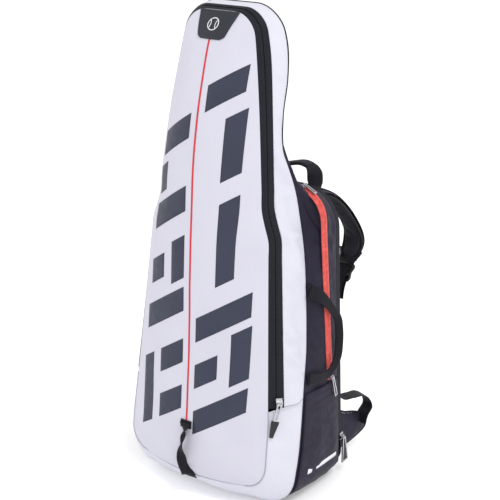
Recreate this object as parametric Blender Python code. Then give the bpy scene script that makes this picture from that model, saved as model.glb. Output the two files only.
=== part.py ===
"""Racket backpack: a domed racket compartment in front of a box-shaped main compartment.

+X is the bag's side, +Y runs from the front panel to the wearer's back and +Z is up.
The origin is the middle of the base. All sizes below are in millimetres, and
make_solid() turns them into metres.
"""
import math

import bmesh
import bpy
from mathutils import Vector

# ---------------------------------------------------------------- driving dimensions
MM = 0.001
GAP = 0.4                  # clearance between pieces that touch
FABRIC = 2.0               # thickness of the fabric walls
PANEL = 3.0                # thickness of the padded panels
CORNER_STEPS = 4           # segments in each rounded corner of an outline
DOME_POWER = 2.2           # how square the domed front is across its width
DOME_COLUMNS = 12

PANEL_BOTTOM = 44.0        # seam under the front panel
PANEL_TOP = 747.0          # inner edge of the zip band at the top
BAND_TOP = 752.0
NECK_TOP = 755.0
FOLD_Z = 174.0             # the flap's fold, and the end of the racket zip
BODY_TOP = 580.0           # the main compartment at its front edge
CORAL_TOP = 487.0
BACK_TOP = 478.0
DOOR_TOP = 474.0
STRAIGHT = (175.0, 400.0)  # the sides are straight here, where the sliders run
SINK_HEIGHTS = (430.0, 475.0)   # the main compartment's cloth sinks in from here upwards
SINK_IN = 8.0
SINK_DOWN = 14.0

CORAL_LOW_Z = 175.5        # lower end of the coral zip
CORAL_END_X = 98.5         # its upper end, in the top corner
CORAL_HALF = 8.0           # half of its width
CORAL_ARC = (97.5, 441.0)  # middle of the top corner that it follows
CORAL_RADIUS = 46.0
BACK_ZIP = 13.0            # width of the zip round the back
BACK_ZIP_LOW = 58.0        # its lower ends
BACK_STRAIGHT = (60.0, 380.0)
BACK_PLATE = 6.0           # thickness of the back panel
PAD = 11.0                 # thickness of the back pads
PAD_EDGE = 8.0             # width and height of the pads' chamfers

FLAP_AXIS = (-106.0, FOLD_Z)    # y and z of the fold
DOOR_AXIS = (101.0, 22.0)
HANDLE_AXIS = (104.0, 480.0)
STRAP_AXIS = (116.0, 456.0)

WEBBING = 25.0             # widths and thicknesses of the webbing
WEBBING_THICK = 1.8
GRIP_WEBBING = 22.0
LOOP_WEBBING = 22.0
STRAP_WIDTH = 62.0
WING_THICK = 9.0

MATERIALS = {              # colour, roughness, metallic
    "white_fabric": ((0.80, 0.80, 0.88), 0.70, 0.0),
    "dark_fabric": ((0.045, 0.040, 0.050), 0.80, 0.0),
    "black_webbing": ((0.012, 0.012, 0.014), 0.75, 0.0),
    "black_fabric": ((0.015, 0.015, 0.018), 0.80, 0.0),
    "coral_zip": ((0.90, 0.12, 0.08), 0.55, 0.0),
    "zip_tape": ((0.02, 0.02, 0.025), 0.65, 0.0),
    "patch": ((0.03, 0.035, 0.045), 0.45, 0.0),
    "silver": ((0.75, 0.75, 0.77), 0.25, 1.0),
    "black_plastic": ((0.02, 0.02, 0.02), 0.40, 0.0),
    "foam_mesh": ((0.03, 0.03, 0.035), 0.90, 0.0),
    "board": ((0.10, 0.10, 0.11), 0.60, 0.0),
}
SIDES = (("right", 1.0), ("left", -1.0))


# ---------------------------------------------------------------- smooth profiles
def profile(points):
    """A smooth curve through (z, value) points."""
    def slope(i):
        low = points[max(i - 1, 0)]
        high = points[min(i + 1, len(points) - 1)]
        return (high[1] - low[1]) / (high[0] - low[0])

    def value(z):
        z = min(max(z, points[0][0]), points[-1][0])
        i = 0
        while i < len(points) - 2 and z > points[i + 1][0]:
            i += 1
        (z0, v0), (z1, v1) = points[i], points[i + 1]
        span = z1 - z0
        t = (z - z0) / span
        ease = t * t * (3 - 2 * t)
        start = slope(i) * span * t * (1 - t) ** 2
        end = slope(i + 1) * span * t * t * (1 - t)
        return v0 + (v1 - v0) * ease + start - end
    return value


crest_y = profile([(38, -98), (50, -105), (75, -107.5), (100, -106.5), (200, -101), (300, -95.5),
                   (400, -91.5), (500, -85.5), (550, -80), (600, -71.5), (650, -60.5),
                   (700, -46), (725, -34), (747, -16.5)])
edge_half = profile([(38, 130), (100, 130.5), (150, 128.7), (175, 126.9), (400, 111),
                     (425, 109.2), (500, 96), (600, 82.4), (680, 70), (747, 58)])
edge_y = profile([(38, -84), (60, -83), (100, -79), (150, -71.8), (175, -69.5), (400, -49),
                  (425, -46.7), (500, -43), (600, -33), (700, -20.5), (747, -16.5)])
band_half = profile([(38, 151), (60, 152), (100, 150), (150, 144.7), (175, 142.3), (400, 120.5),
                     (425, 118.1), (500, 103.5), (600, 90.7), (680, 81), (720, 73), (752, 66)])
band_y = profile([(38, -68), (60, -67.5), (100, -63), (150, -51.8), (175, -49.5), (400, -28.5),
                  (425, -26.2), (500, -22.5), (600, -12), (700, -1), (752, 1)])
seam_half = profile([(0, 148), (50, 154), (100, 154), (200, 144), (300, 135), (400, 126),
                     (450, 118.8), (500, 111.6), (525, 106.3), (550, 99.4), (600, 93), (650, 89),
                     (700, 84), (755, 72)])
seam_y = profile([(0, -34), (40, -38), (100, -25), (150, -12.5), (200, 0), (250, 11), (350, 19.5),
                  (420, 20), (480, 16), (550, 2), (600, 9), (650, 25), (700, 31), (755, 24)])
coral_half = profile([(0, 146), (60, 151), (150, 146.2), (175, 146), (400, 144), (425, 143.8),
                      (487, 143.5)])
coral_y = profile([(0, 73), (150, 70.7), (175, 68.5), (400, 48.7), (425, 46.5), (487, 43)])
back_half = profile([(0, 141), (30, 143.5), (60, 143), (380, 137.5), (478, 135.8)])
back_y = profile([(0, 102.3), (30, 101.8), (60, 101), (380, 92), (478, 89.2)])
door_half = profile([(0, 140), (60, 139), (380, 133.5), (478, 131.8)])
door_y = profile([(0, 115.7), (60, 114), (380, 105), (478, 102.2)])


# ---------------------------------------------------------------- outlines round the bag
class Outline:
    """A closed outline: flat bottom and top, round corners, half width and depth by height."""

    def __init__(self, half, depth, bottom, top, r_bottom, r_top, upper_steps):
        self.half = half
        self.depth = depth
        self.bottom = bottom
        self.top = top
        self.r_bottom = r_bottom
        self.r_top = r_top
        self.upper_steps = upper_steps

    def corner_cut(self, z):
        """How far the round corners stand in from the full half width at z."""
        low = self.bottom + self.r_bottom
        high = self.top - self.r_top
        if z < low:
            return self.r_bottom - math.sqrt(max(self.r_bottom ** 2 - (low - z) ** 2, 0.0))
        if z > high:
            return self.r_top - math.sqrt(max(self.r_top ** 2 - (z - high) ** 2, 0.0))
        return 0.0

    def reach(self, z, inset=0.0):
        return self.half(z) - self.corner_cut(z) - inset

    def heights(self):
        """Heights up one side, with a stop at the fold, at the coral zip's end and above it."""
        turns = [math.radians(90 * i / CORNER_STEPS) for i in range(CORNER_STEPS + 1)]
        heights = [self.bottom + self.r_bottom * (1 - math.cos(turn)) for turn in turns[:-1]]
        knots = (self.bottom + self.r_bottom, FOLD_Z, CORAL_LOW_Z, STRAIGHT[1], self.top - self.r_top)
        for low, high, steps in zip(knots, knots[1:], (2, 1, 4, self.upper_steps)):
            heights += [low + (high - low) * i / steps for i in range(steps)]
        heights += [self.top - self.r_top + self.r_top * math.sin(turn) for turn in turns]
        return heights

    def side(self, inset=0.0, push=0.0):
        """The right-hand half, from the middle of the bottom to the middle of the top."""
        span = self.top - self.bottom
        low = self.reach(self.bottom)
        high = self.reach(self.top)
        points = [Vector((low * share, self.depth(self.bottom) + push, self.bottom + inset))
                  for share in (0.0, 0.5)]
        for z in self.heights():
            squeeze = (z - self.bottom) / span
            z_in = self.bottom + inset + squeeze * (span - 2 * inset)
            points.append(Vector((self.reach(z, inset), self.depth(z) + push, z_in)))
        points += [Vector((high * share, self.depth(self.top) + push, self.top - inset))
                   for share in (0.5, 0.0)]
        return points

    def loop(self, inset=0.0, push=0.0):
        """The whole closed outline, starting in the middle of the bottom."""
        side = self.side(inset, push)
        left = [Vector((-p.x, p.y, p.z)) for p in reversed(side[1:-1])]
        return side + left


PANEL_EDGE = Outline(edge_half, edge_y, PANEL_BOTTOM, PANEL_TOP, 38, 32, 8)
BAND_EDGE = Outline(band_half, band_y, PANEL_BOTTOM - 4, BAND_TOP, 38, 32, 8)
RACKET_SEAM = Outline(seam_half, seam_y, 0, NECK_TOP, 50, 36, 8)
BODY_FRONT = Outline(seam_half, seam_y, 0, BODY_TOP, 50, 16, 4)
CORAL_LINE = Outline(coral_half, coral_y, 0, CORAL_TOP, 34, CORAL_RADIUS, 4)
BACK_LINE = Outline(back_half, back_y, 2, BACK_TOP, 26, 60, 4)
DOOR_LINE = Outline(door_half, door_y, 10, DOOR_TOP, 26, 58, 4)


def blend_rows(first, second, share, bulge=0.0):
    """Points part of the way between two rows, pushed outwards sideways by a bulge."""
    rows = []
    for a, b in zip(first, second):
        point = a.lerp(b, share)
        point.x += bulge * max(-1.0, min(1.0, point.x / 60.0))
        rows.append(point)
    return rows


def above(points, z_end):
    """The part of a loop above z_end, from the right side over the top to the left."""
    return [p for p in points if p.z >= z_end - 0.01]


# ---------------------------------------------------------------- solids
def material(name):
    found = bpy.data.materials.get(name)
    if found:
        return found
    colour, roughness, metallic = MATERIALS[name]
    made = bpy.data.materials.new(name)
    made.use_nodes = True
    shader = made.node_tree.nodes["Principled BSDF"]
    shader.inputs["Base Color"].default_value = (*colour, 1.0)
    shader.inputs["Roughness"].default_value = roughness
    shader.inputs["Metallic"].default_value = metallic
    made.diffuse_color = (*colour, 1.0)
    return made


def make_solid(name, points, faces, finish, pivot=(0, 0, 0)):
    """One closed body with its own copy of a material and its origin on its pivot."""
    pivot = Vector(pivot)
    shape = bmesh.new()
    corners = [shape.verts.new((Vector(p) - pivot) * MM) for p in points]
    for face in faces:
        shape.faces.new([corners[i] for i in face])
    bmesh.ops.recalc_face_normals(shape, faces=shape.faces)
    mesh = bpy.data.meshes.new(name)
    shape.to_mesh(mesh)
    shape.free()
    mesh.shade_smooth()
    mesh.set_sharp_from_angle(angle=math.radians(40))
    body = bpy.data.objects.new(name, mesh)
    body.location = pivot * MM
    own = material(finish).copy()
    own.name = name + "_" + finish
    mesh.materials.append(own)
    bpy.context.scene.collection.objects.link(body)


def skin(name, sections, finish, closed=False, pivot=(0, 0, 0)):
    """A solid through sections with an even number of points, paired outer to inner."""
    count = len(sections[0])
    points = [p for section in sections for p in section]
    faces = []
    last = len(sections) if closed else len(sections) - 1
    for i in range(last):
        here = i * count
        there = ((i + 1) % len(sections)) * count
        for j in range(count):
            k = (j + 1) % count
            faces.append((here + j, here + k, there + k, there + j))
    if not closed:
        for start in (0, (len(sections) - 1) * count):
            for j in range(count // 2 - 1):
                far = start + count - 1 - j
                faces.append((start + j, start + j + 1, far - 1, far))
    make_solid(name, points, faces, finish, pivot)


def wall(name, outer_rows, inner_rows, finish, closed=True, pivot=(0, 0, 0)):
    """A thin wall between rows of points on its outside and on its inside."""
    rows = list(outer_rows) + list(reversed(inner_rows))
    sections = [list(section) for section in zip(*rows)]
    skin(name, sections, finish, closed, pivot)


def prism(name, outline, across, finish, pivot=(0, 0, 0)):
    """An outline swept by a straight vector, with flat caps."""
    across = Vector(across)
    near = [Vector(p) for p in outline]
    far = [p + across for p in near]
    count = len(near)
    faces = [tuple(range(count)), tuple(reversed(range(count, 2 * count)))]
    faces += [(j, j + count, (j + 1) % count + count, (j + 1) % count) for j in range(count)]
    make_solid(name, near + far, faces, finish, pivot)


FLAT_SECTION = [(-1, 1), (1, 1), (1, -1), (-1, -1)]
PADDED_SECTION = [(-1, 0.25), (-0.8, 1), (0, 1.15), (0.8, 1), (1, 0.25),
                  (1, -0.25), (0.8, -1), (0, -1.15), (-0.8, -1), (-1, -0.25)]


def ribbon(name, path, widths, thicknesses, side_at, finish, section=FLAT_SECTION, pivot=(0, 0, 0)):
    """A strap along a path. side_at(share, tangent) is the direction of its width."""
    sections = []
    for i, point in enumerate(path):
        share = i / (len(path) - 1)
        tangent = (path[min(i + 1, len(path) - 1)] - path[max(i - 1, 0)]).normalized()
        side = side_at(share, tangent)
        side = (side - tangent * side.dot(tangent)).normalized()
        up = side.cross(tangent)
        half = widths(share) / 2
        thick = thicknesses(share) / 2
        sections.append([point + side * half * a + up * thick * b for a, b in section])
    skin(name, sections, finish, pivot=pivot)


def smooth_path(points, steps):
    """A smooth path through hand-picked points, with some steps between each pair."""
    points = [Vector(p) for p in points]
    path = []
    for i in range(len(points) - 1):
        before = points[max(i - 1, 0)]
        start = points[i]
        end = points[i + 1]
        after = points[min(i + 2, len(points) - 1)]
        for s in range(steps):
            t = s / steps
            path.append(0.5 * (2 * start + (end - before) * t
                               + (2 * before - 5 * start + 4 * end - after) * t * t
                               + (3 * start - before - 3 * end + after) * t ** 3))
    path.append(points[-1])
    return path


def on_side(points, sign):
    """Right-hand points, or their mirror image where sign is -1."""
    return [Vector((p[0] * sign, p[1], p[2])) for p in points]


# ---------------------------------------------------------------- racket compartment
def dome_y(x, z):
    """Depth of the domed front panel."""
    reach = max(PANEL_EDGE.reach(z), 1.0)
    share = min(abs(x) / reach, 1.0) ** DOME_POWER
    return crest_y(z) + (edge_y(z) - crest_y(z)) * share


def dome_rows(low, high, inset, push):
    """Rows of points over the dome between two heights."""
    rows = []
    for height in PANEL_EDGE.heights():
        if not low - 1 < height < high + 1:
            continue
        z = min(max(height, low), high)
        reach = PANEL_EDGE.reach(z) - inset
        row = []
        for i in range(DOME_COLUMNS + 1):
            x = reach * (2 * i / DOME_COLUMNS - 1)
            row.append(Vector((x, dome_y(x, z) + push, z)))
        rows.append(row)
    return rows


def dome_panel(name, low, high, pivot=(0, 0, 0)):
    edge_trim = 1.5
    outer = dome_rows(low, high, 0.0, 0.0)
    inner = dome_rows(low, high, edge_trim, PANEL)
    sections = [front + list(reversed(rear)) for front, rear in zip(outer, inner)]
    skin(name, sections, "white_fabric", pivot=pivot)


def band_point_rows(near, far, inset):
    """One half of the zip band between two shares of its width."""
    edge = PANEL_EDGE.loop(-0.6)
    behind_panel = Vector((0, PANEL + GAP, 0))
    edge = [p + behind_panel if p.z > PANEL_TOP - 12 else p for p in edge]
    outer = BAND_EDGE.loop()
    rows = []
    for share in (near, far):
        row = []
        for p in blend_rows(above(edge, FOLD_Z), above(outer, FOLD_Z), share):
            upright = 1.0 if abs(p.z - NECK_TOP) > 20 else 0.3
            row.append(Vector((p.x * (1 - inset / 110), p.y + inset * 0.6 * upright,
                               p.z - inset * (1 - upright))))
        rows.append(row)
    return rows


def racket_zip_tapes():
    for name, near, far, pivot in (("flap_zip_tape", 0.06, 0.47, (0, *FLAP_AXIS)),
                                   ("gusset_zip_tape", 0.53, 0.96, (0, 0, 0))):
        wall(name, band_point_rows(near, far, 0.0), band_point_rows(near, far, FABRIC),
             "zip_tape", closed=False, pivot=pivot)


def racket_gusset_front():
    """The gusset's front edge: under the zip band, and round the lower panel's seam."""
    front = []
    for band, edge in zip(BAND_EDGE.loop(), PANEL_EDGE.loop(-0.8)):
        if band.z >= FOLD_Z - 0.01:
            point = band
        elif edge.z < PANEL_BOTTOM + 1.5:
            point = Vector((edge.x, dome_y(edge.x, PANEL_BOTTOM), edge.z))
        else:
            point = edge
        front.append(point + Vector((0, GAP, -GAP if point.z < 120 else 0)))
    return front


def racket_gusset():
    """White wall from the zip band, or from the panel's edge below it, back to the seam."""
    front = racket_gusset_front()
    seam = RACKET_SEAM.loop()
    middle = blend_rows(front, seam, 0.5, 3.0)
    for p, f in zip(middle, front):
        if f.z < FOLD_Z:
            low = 1 - f.z / FOLD_Z
            p.z -= 3 * low ** 2
            p.y -= 4 * low

    def inside(row):
        """The inner side of a row, which stands in at the sides, the bottom and the top."""
        points = []
        for p in row:
            rise = FABRIC if p.z < 60 else 0
            drop = FABRIC if p.z > 700 else 0
            points.append(Vector((p.x * 0.984, p.y, p.z + rise - drop)))
        return points

    front_in = [Vector((p.x * 0.994, p.y + PANEL + 0.6, p.z - (FABRIC if p.z > 700 else 0)))
                for p in front]
    wall("racket_gusset", [front, middle, seam], [front_in, inside(middle), inside(seam)],
         "white_fabric")


def racket_back_panel():
    """Black panel that closes the racket compartment behind, and shows behind the neck."""
    low, high = 18.0, NECK_TOP - 5
    steps = 18
    rows = []
    for i in range(steps + 1):
        z = low + (high - low) * i / steps
        narrowest = min(RACKET_SEAM.reach(z + step) for step in (-3, 0, 3))
        reach = narrowest * 0.965 - 2
        y = seam_y(z) - 0.6
        front = [Vector((reach * s, y - PANEL, z)) for s in (-1, -0.5, 0, 0.5, 1)]
        rear = [Vector((p.x, y, p.z)) for p in reversed(front)]
        rows.append(front + rear)
    skin("racket_back_panel", rows, "black_fabric")


def front_loop():
    """Webbing loop on the bottom of the front, sewn down at both ends."""
    path = smooth_path([(0, -110.2, 128), (0, -116, 112), (0, -121, 84), (0, -116, 58),
                        (0, -104.5, 40)], 3)
    ribbon("front_loop", path, lambda s: LOOP_WEBBING, lambda s: 2.4,
           lambda s, t: Vector((1, 0, 0)), "black_webbing")


def nose_patch():
    """Dark trapezoid patch at the top of the flap."""
    low_z, height = 709.0, 36.5
    low_half, spread = 21.0, 13.0
    corner_half = 17.0
    sections = []
    for i in range(6):
        share = i / 5
        z = low_z + height * share
        half = low_half + spread * share if i else corner_half
        front = []
        rear = []
        for j in range(7):
            x = half * (j / 3 - 1)
            y = dome_y(x, z) - 0.9 * (1 + share)
            front.append(Vector((x, y - 1.4, z)))
            rear.append(Vector((x, y, z)))
        sections.append(front + list(reversed(rear)))
    skin("nose_patch", sections, "patch", pivot=(0, *FLAP_AXIS))


def racket_compartment():
    racket_gusset()
    racket_back_panel()
    dome_panel("front_panel_lower", PANEL_BOTTOM, FOLD_Z - GAP)
    dome_panel("front_flap", FOLD_Z + GAP, PANEL_TOP, pivot=(0, *FLAP_AXIS))
    racket_zip_tapes()
    nose_patch()
    front_loop()


# ---------------------------------------------------------------- main compartment
def on_coral(point):
    """True where the coral zip runs: up the side and round the top corner."""
    return point.z >= CORAL_LOW_Z - 0.01 and abs(point.x) > CORAL_END_X


def coral_edge(direction, inset):
    """The gusset's edge along the coral zip, which steps aside where the zip is."""
    row = []
    for outer, p in zip(CORAL_LINE.loop(), CORAL_LINE.loop(inset)):
        step = CORAL_HALF + GAP if on_coral(outer) else GAP / 2
        row.append(p + Vector((0, direction * step, 0)))
    return row


def sunk(row):
    """Lowers the upper part of a row and draws it inwards, where the cloth is slack."""
    low, high = SINK_HEIGHTS
    for p in row:
        share = min(max((p.z - low) / (high - low), 0.0), 1.0)
        p.x -= SINK_IN * share * max(-1.0, min(1.0, p.x / 60.0))
        p.z -= SINK_DOWN * share
    return row


def gussets():
    front = BODY_FRONT.loop(0.0, 1.0)
    front_in = BODY_FRONT.loop(FABRIC, 1.0)
    zip_front = coral_edge(-1, 0.0)
    zip_front_in = coral_edge(-1, FABRIC)
    middle = sunk(blend_rows(front, zip_front, 0.55, 2.0))
    middle_in = sunk(blend_rows(front_in, zip_front_in, 0.55, 2.0))
    wall("front_gusset", [front, middle, zip_front], [front_in, middle_in, zip_front_in],
         "dark_fabric")
    back = BACK_LINE.loop(0.0, -GAP)
    back_in = BACK_LINE.loop(FABRIC, -GAP)
    wall("rear_gusset", [coral_edge(1, 0.0), back], [coral_edge(1, FABRIC), back_in], "dark_fabric")


def coral_zips():
    pairs = [(p, q) for p, q in zip(CORAL_LINE.side(), CORAL_LINE.side(FABRIC)) if on_coral(p)]
    line, line_in = zip(*pairs)
    for side, sign in SIDES:
        rows = []
        for row in (line, line_in):
            rows.append([[Vector((p.x * sign, p.y + dy, p.z)) for p in row]
                         for dy in (-CORAL_HALF, CORAL_HALF)])
        wall("coral_zip_" + side, rows[0], rows[1], "coral_zip", closed=False)


def side_surface(y_share, z, out):
    """A point on the bag's side between its front seam (0), coral line (1) and back (2)."""
    stations = [Vector((BODY_FRONT.reach(z), seam_y(z), z)),
                Vector((CORAL_LINE.reach(z), coral_y(z), z)),
                Vector((BACK_LINE.reach(z), back_y(z), z))]
    i = 0 if y_share < 1 else 1
    point = stations[i].lerp(stations[i + 1], y_share - i)
    if i == 0:
        point.x += 2.0 * min(y_share / 0.55, (1 - y_share) / 0.45)
    point.x += out
    return point


def side_pockets():
    """Flat pockets on the lower sides."""
    columns, rows = 6, 4
    for side, sign in SIDES:
        sections = []
        for i in range(columns + 1):
            share = 0.10 + 1.76 * i / columns
            hem = 177 - 3 * share
            outer = []
            inner = []
            for j in range(rows + 1):
                z = 62 + (hem - 62) * j / rows
                outer.append(side_surface(share, z, 3.2))
                inner.append(side_surface(share, z, 1.8))
            sections.append(on_side(outer + list(reversed(inner)), sign))
        skin("side_pocket_" + side, sections, "dark_fabric")


HANDLE_PATH = [(136.5, 21, 335.5), (148.4, 36, 327), (155.3, 53, 308), (157.3, 68, 288), (157, 74, 268),
               (157, 75.5, 243), (157, 71, 217), (156, 52, 199), (154, 28, 197.5), (149.5, 6, 201)]


def side_handles():
    """Webbing grips, sewn to the seam at both ends and folded double in the grip."""
    for side, sign in SIDES:
        path = smooth_path(on_side(HANDLE_PATH, sign), 3)
        top, bottom = on_side((HANDLE_PATH[0], HANDLE_PATH[-1]), sign)
        ribbon("side_handle_" + side, path,
               lambda s: GRIP_WEBBING - 9 * math.sin(math.pi * s) ** 2,
               lambda s: 2.2 + 1.8 * math.sin(math.pi * s) ** 2,
               lambda s, t: t.cross(Vector((1, 0, 0))), "black_webbing",
               pivot=(top + bottom) / 2)


def flat_board(name, half, y, z):
    """A board between two depths and two heights."""
    outline = [(-half, y[0], z[0]), (half, y[0], z[0]), (half, y[1], z[0]), (-half, y[1], z[0])]
    prism(name, outline, (0, 0, z[1] - z[0]), "board")


# ---------------------------------------------------------------- back
def door_outline(inset):
    """The outline of the back panel, moved inwards by inset."""
    return Outline(lambda z: door_half(z) - inset, door_y, DOOR_LINE.bottom + inset,
                   DOOR_LINE.top - inset, DOOR_LINE.r_bottom, DOOR_LINE.r_top, DOOR_LINE.upper_steps)


def back_zip():
    front, front_in = BACK_LINE.loop(), BACK_LINE.loop(FABRIC)
    rear, rear_in = DOOR_LINE.loop(), door_outline(FABRIC).loop()
    for name, near, far, pivot in (("body_zip_tape", 0.02, 0.47, (0, 0, 0)),
                                   ("door_zip_tape", 0.53, 0.97, (0, *DOOR_AXIS))):
        outer = [above(blend_rows(front, rear, s), BACK_ZIP_LOW) for s in (near, far)]
        inner = [above(blend_rows(front_in, rear_in, s), BACK_ZIP_LOW) for s in (near, far)]
        shortest = min(len(row) for row in outer + inner)
        trims = [(len(row) - shortest) // 2 for row in outer + inner]
        rows = [row[trim:len(row) - trim] for row, trim in zip(outer + inner, trims)]
        wall(name, rows[:2], rows[2:], "zip_tape", closed=False, pivot=pivot)


def back_plate(name, inset, near, far, finish, steps):
    """A panel inside the back outline, between two depths from its rear face."""
    outline = door_outline(inset)
    sections = []
    for i in range(steps + 1):
        turn = 0.5 - 0.5 * math.cos(math.pi * i / steps)
        z = outline.bottom + (outline.top - outline.bottom) * turn
        reach = outline.reach(z)
        y = door_y(z)
        front = [Vector((-reach, y + near, z)), Vector((reach, y + near, z))]
        rear = [Vector((reach, y + far, z)), Vector((-reach, y + far, z))]
        sections.append(front + rear)
    skin(name, sections, finish, pivot=(0, *DOOR_AXIS))


def pad(name, centre, half_width, low, high, thick):
    """A padded block with chamfered edges on the back panel."""
    full, end = 1.0, 0.72
    stations = ((low, end), (low + PAD_EDGE, full), ((low + high) / 2, full),
                (high - PAD_EDGE, full), (high, end))
    sections = []
    for z, share in stations:
        y = door_y(z) + 1.0
        half = half_width * (1.0 if share == full else 0.9)
        middle = y + thick * share * 0.5
        rear = y + thick * share
        sections.append([Vector((centre + x, depth, z)) for x, depth in
                         ((-half, y), (half, y), (half, middle), (half - PAD_EDGE, rear),
                          (PAD_EDGE - half, rear), (-half, middle))])
    skin(name, sections, "foam_mesh", pivot=(0, *DOOR_AXIS))


def strap_yoke():
    """The band across the back that the shoulder straps are sewn under."""
    profile_points = ((428, 0), (462, 0), (462, 4), (428, 5))
    sections = []
    for x in (-100, -50, 0, 50, 100):
        sections.append([Vector((x, door_y(z) + 1.0 + rise, z)) for z, rise in profile_points])
    skin("strap_yoke", sections, "black_fabric", pivot=(0, *DOOR_AXIS))


STRAP_PATH = [(62, 118.5, 452), (68, 137, 451), (77, 163, 437), (85, 190, 410),
              (91, 209, 380), (92, 213, 356), (89, 203, 330)]
WEB_PATH = [(87, 171, 290), (88, 157, 264), (92, 140, 230), (101, 132, 188), (111, 133, 148),
            (121, 139, 119), (130, 160, 110), (133.5, 182, 107), (135, 198, 93), (134.5, 190, 72)]
WING_OUTLINE = [(127, 118, 26), (130, 152, 27), (134, 210, 40), (134, 206, 56),
                (131, 160, 82), (127, 118, 96)]


def strap_side(sign):
    """The direction across a shoulder strap, which turns outwards along its length."""
    def side_at(share, tangent):
        turn = math.radians(6 + 20 * math.sin(math.pi * min(share, 0.98) ** 1.3))
        return Vector((math.cos(turn), -math.sin(turn) * sign, 0))
    return side_at


def strap_width(share):
    """Full width at the yoke, and a quick taper to the webbing's width at the lower end."""
    taper = max(share - 0.78, 0.0) / 0.22
    return STRAP_WIDTH - 10 * share * share - 24 * taper ** 1.5


def shoulder_straps():
    for side, sign in SIDES:
        path = smooth_path(on_side(STRAP_PATH, sign), 3)
        ribbon("shoulder_strap_" + side, path, strap_width,
               lambda s: 8 + 4 * math.sin(math.pi * s), strap_side(sign), "foam_mesh",
               PADDED_SECTION, (sign * STRAP_PATH[0][0], *STRAP_AXIS))
        buckle(side, sign)
        web = smooth_path(on_side(WEB_PATH, sign), 3)
        ribbon("strap_webbing_" + side, web, lambda s: WEBBING, lambda s: WEBBING_THICK,
               strap_side(sign), "black_webbing", pivot=(0, *DOOR_AXIS))
        prism("strap_wing_" + side, on_side(WING_OUTLINE, sign), (-sign * WING_THICK, 0, 0),
              "foam_mesh", (0, *DOOR_AXIS))


BUCKLE_TOP = (88.5, 196.5, 322.5)
BUCKLE_DOWN = (-0.03, -0.50, -0.87)


def buckle(side, sign):
    """Ladder lock: a frame with one slot, tilted along the strap's lower end."""
    thickness = 5.0
    top, down = on_side((BUCKLE_TOP, BUCKLE_DOWN), sign)
    down = down.normalized()
    turn = math.radians(12)
    across = Vector((math.cos(turn), -math.sin(turn) * sign, 0))
    across = (across - down * across.dot(down)).normalized()
    thick = across.cross(down) * thickness
    base = top + down * 2.0 - thick * 0.5
    outer = [(-16, 0), (16, 0), (17, 24), (-17, 24)]
    slot = [(-12.5, 9), (12.5, 9), (12.5, 15), (-12.5, 15)]
    sections = []
    for (a, b), (c, d) in zip(outer, slot):
        rim = base + across * a + down * b
        hole = base + across * c + down * d
        sections.append([rim, hole, hole + thick, rim + thick])
    skin("strap_buckle_" + side, sections, "black_plastic", closed=True, pivot=top)


def top_handle():
    points = [(86, 104, 481), (87, 104, 493), (79, 104, 504), (62, 104, 506), (30, 104, 498.5),
              (0, 104, 495)]
    half = [Vector(p) for p in points]
    whole = half + [Vector((-p.x, p.y, p.z)) for p in reversed(half[:-1])]
    path = smooth_path(whole, 2)
    ribbon("top_handle", path, lambda s: 12 + 13 * min(1, 5 * min(s, 1 - s)), lambda s: 3.0,
           lambda s, t: Vector((0, 1, 0)), "black_webbing", pivot=(0, *HANDLE_AXIS))


def back():
    back_zip()
    back_plate("back_panel", FABRIC + 0.8, -BACK_PLATE, 0.0, "black_fabric", 10)
    back_plate("frame_sheet", 14.0, -BACK_PLATE - 2.0, -BACK_PLATE - GAP, "board", 6)
    for side, sign in SIDES:
        pad("back_pad_" + side, sign * 50, 36, 128, 420, PAD)
    pad("lumbar_pad", 0, 96, 40, 118, PAD + 2)
    strap_yoke()
    shoulder_straps()
    top_handle()


# ---------------------------------------------------------------- zip sliders and pulls
def frame_axes(along, out):
    """Square axes from two directions: along, out of the surface, and across."""
    along = Vector(along).normalized()
    out = Vector(out)
    out = (out - along * out.dot(along)).normalized()
    return along, out, along.cross(out)


def slider(name, at, along, out, size):
    """A zip slider: a tapered block with a raised bridge, standing on the zip."""
    along, out, across = frame_axes(along, out)
    width, length, height = size
    at = Vector(at)
    shape = [(-0.5, 0.0), (0.5, 0.0), (0.5, 0.45), (0.22, 0.5), (0.18, 1.0),
             (-0.18, 1.0), (-0.22, 0.5), (-0.5, 0.45)]
    outline = [at + along * length * a + out * height * b - across * width / 2 for a, b in shape]
    prism(name, outline, across * width, "silver", at)


def pull_outline(at, down, across, length, wide_top, wide_low):
    corners = ((-wide_top / 2, 0), (wide_top / 2, 0), (wide_low / 2, length), (-wide_low / 2, length))
    return [at + across * a + down * b for a, b in corners]


def ring_plate(name, at, down, out, length, widths, thick, pivot, rim=2.2):
    """A flat metal pull: a long plate with a slot, wider at one end than at the other."""
    down, out, across = frame_axes(down, out)
    at = Vector(at)
    outer = pull_outline(at, down, across, length, *widths)
    inner = pull_outline(at + down * rim, down, across, length - 2 * rim,
                         widths[0] - 2 * rim, widths[1] - 2 * rim)
    sections = [[rim_point, hole, hole + out * thick, rim_point + out * thick]
                for rim_point, hole in zip(outer, inner)]
    skin(name, sections, "silver", closed=True, pivot=pivot)


def wedge_tab(name, at, down, out, length, widths, thick, pivot):
    """The plastic end of a pull."""
    down, out, across = frame_axes(down, out)
    outline = pull_outline(Vector(at), down, across, length, *widths)
    prism(name, outline, out * thick, "black_plastic", pivot)


def band_middle(z):
    """The middle of the zip band on its right-hand side."""
    return Vector(((edge_half(z) + band_half(z)) / 2, (edge_y(z) + band_y(z)) / 2, z))


RACKET_PULL_DOWN = (-0.16, -0.20, -1)
RACKET_PULL_OUT = (0.75, -0.65, 0)


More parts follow.
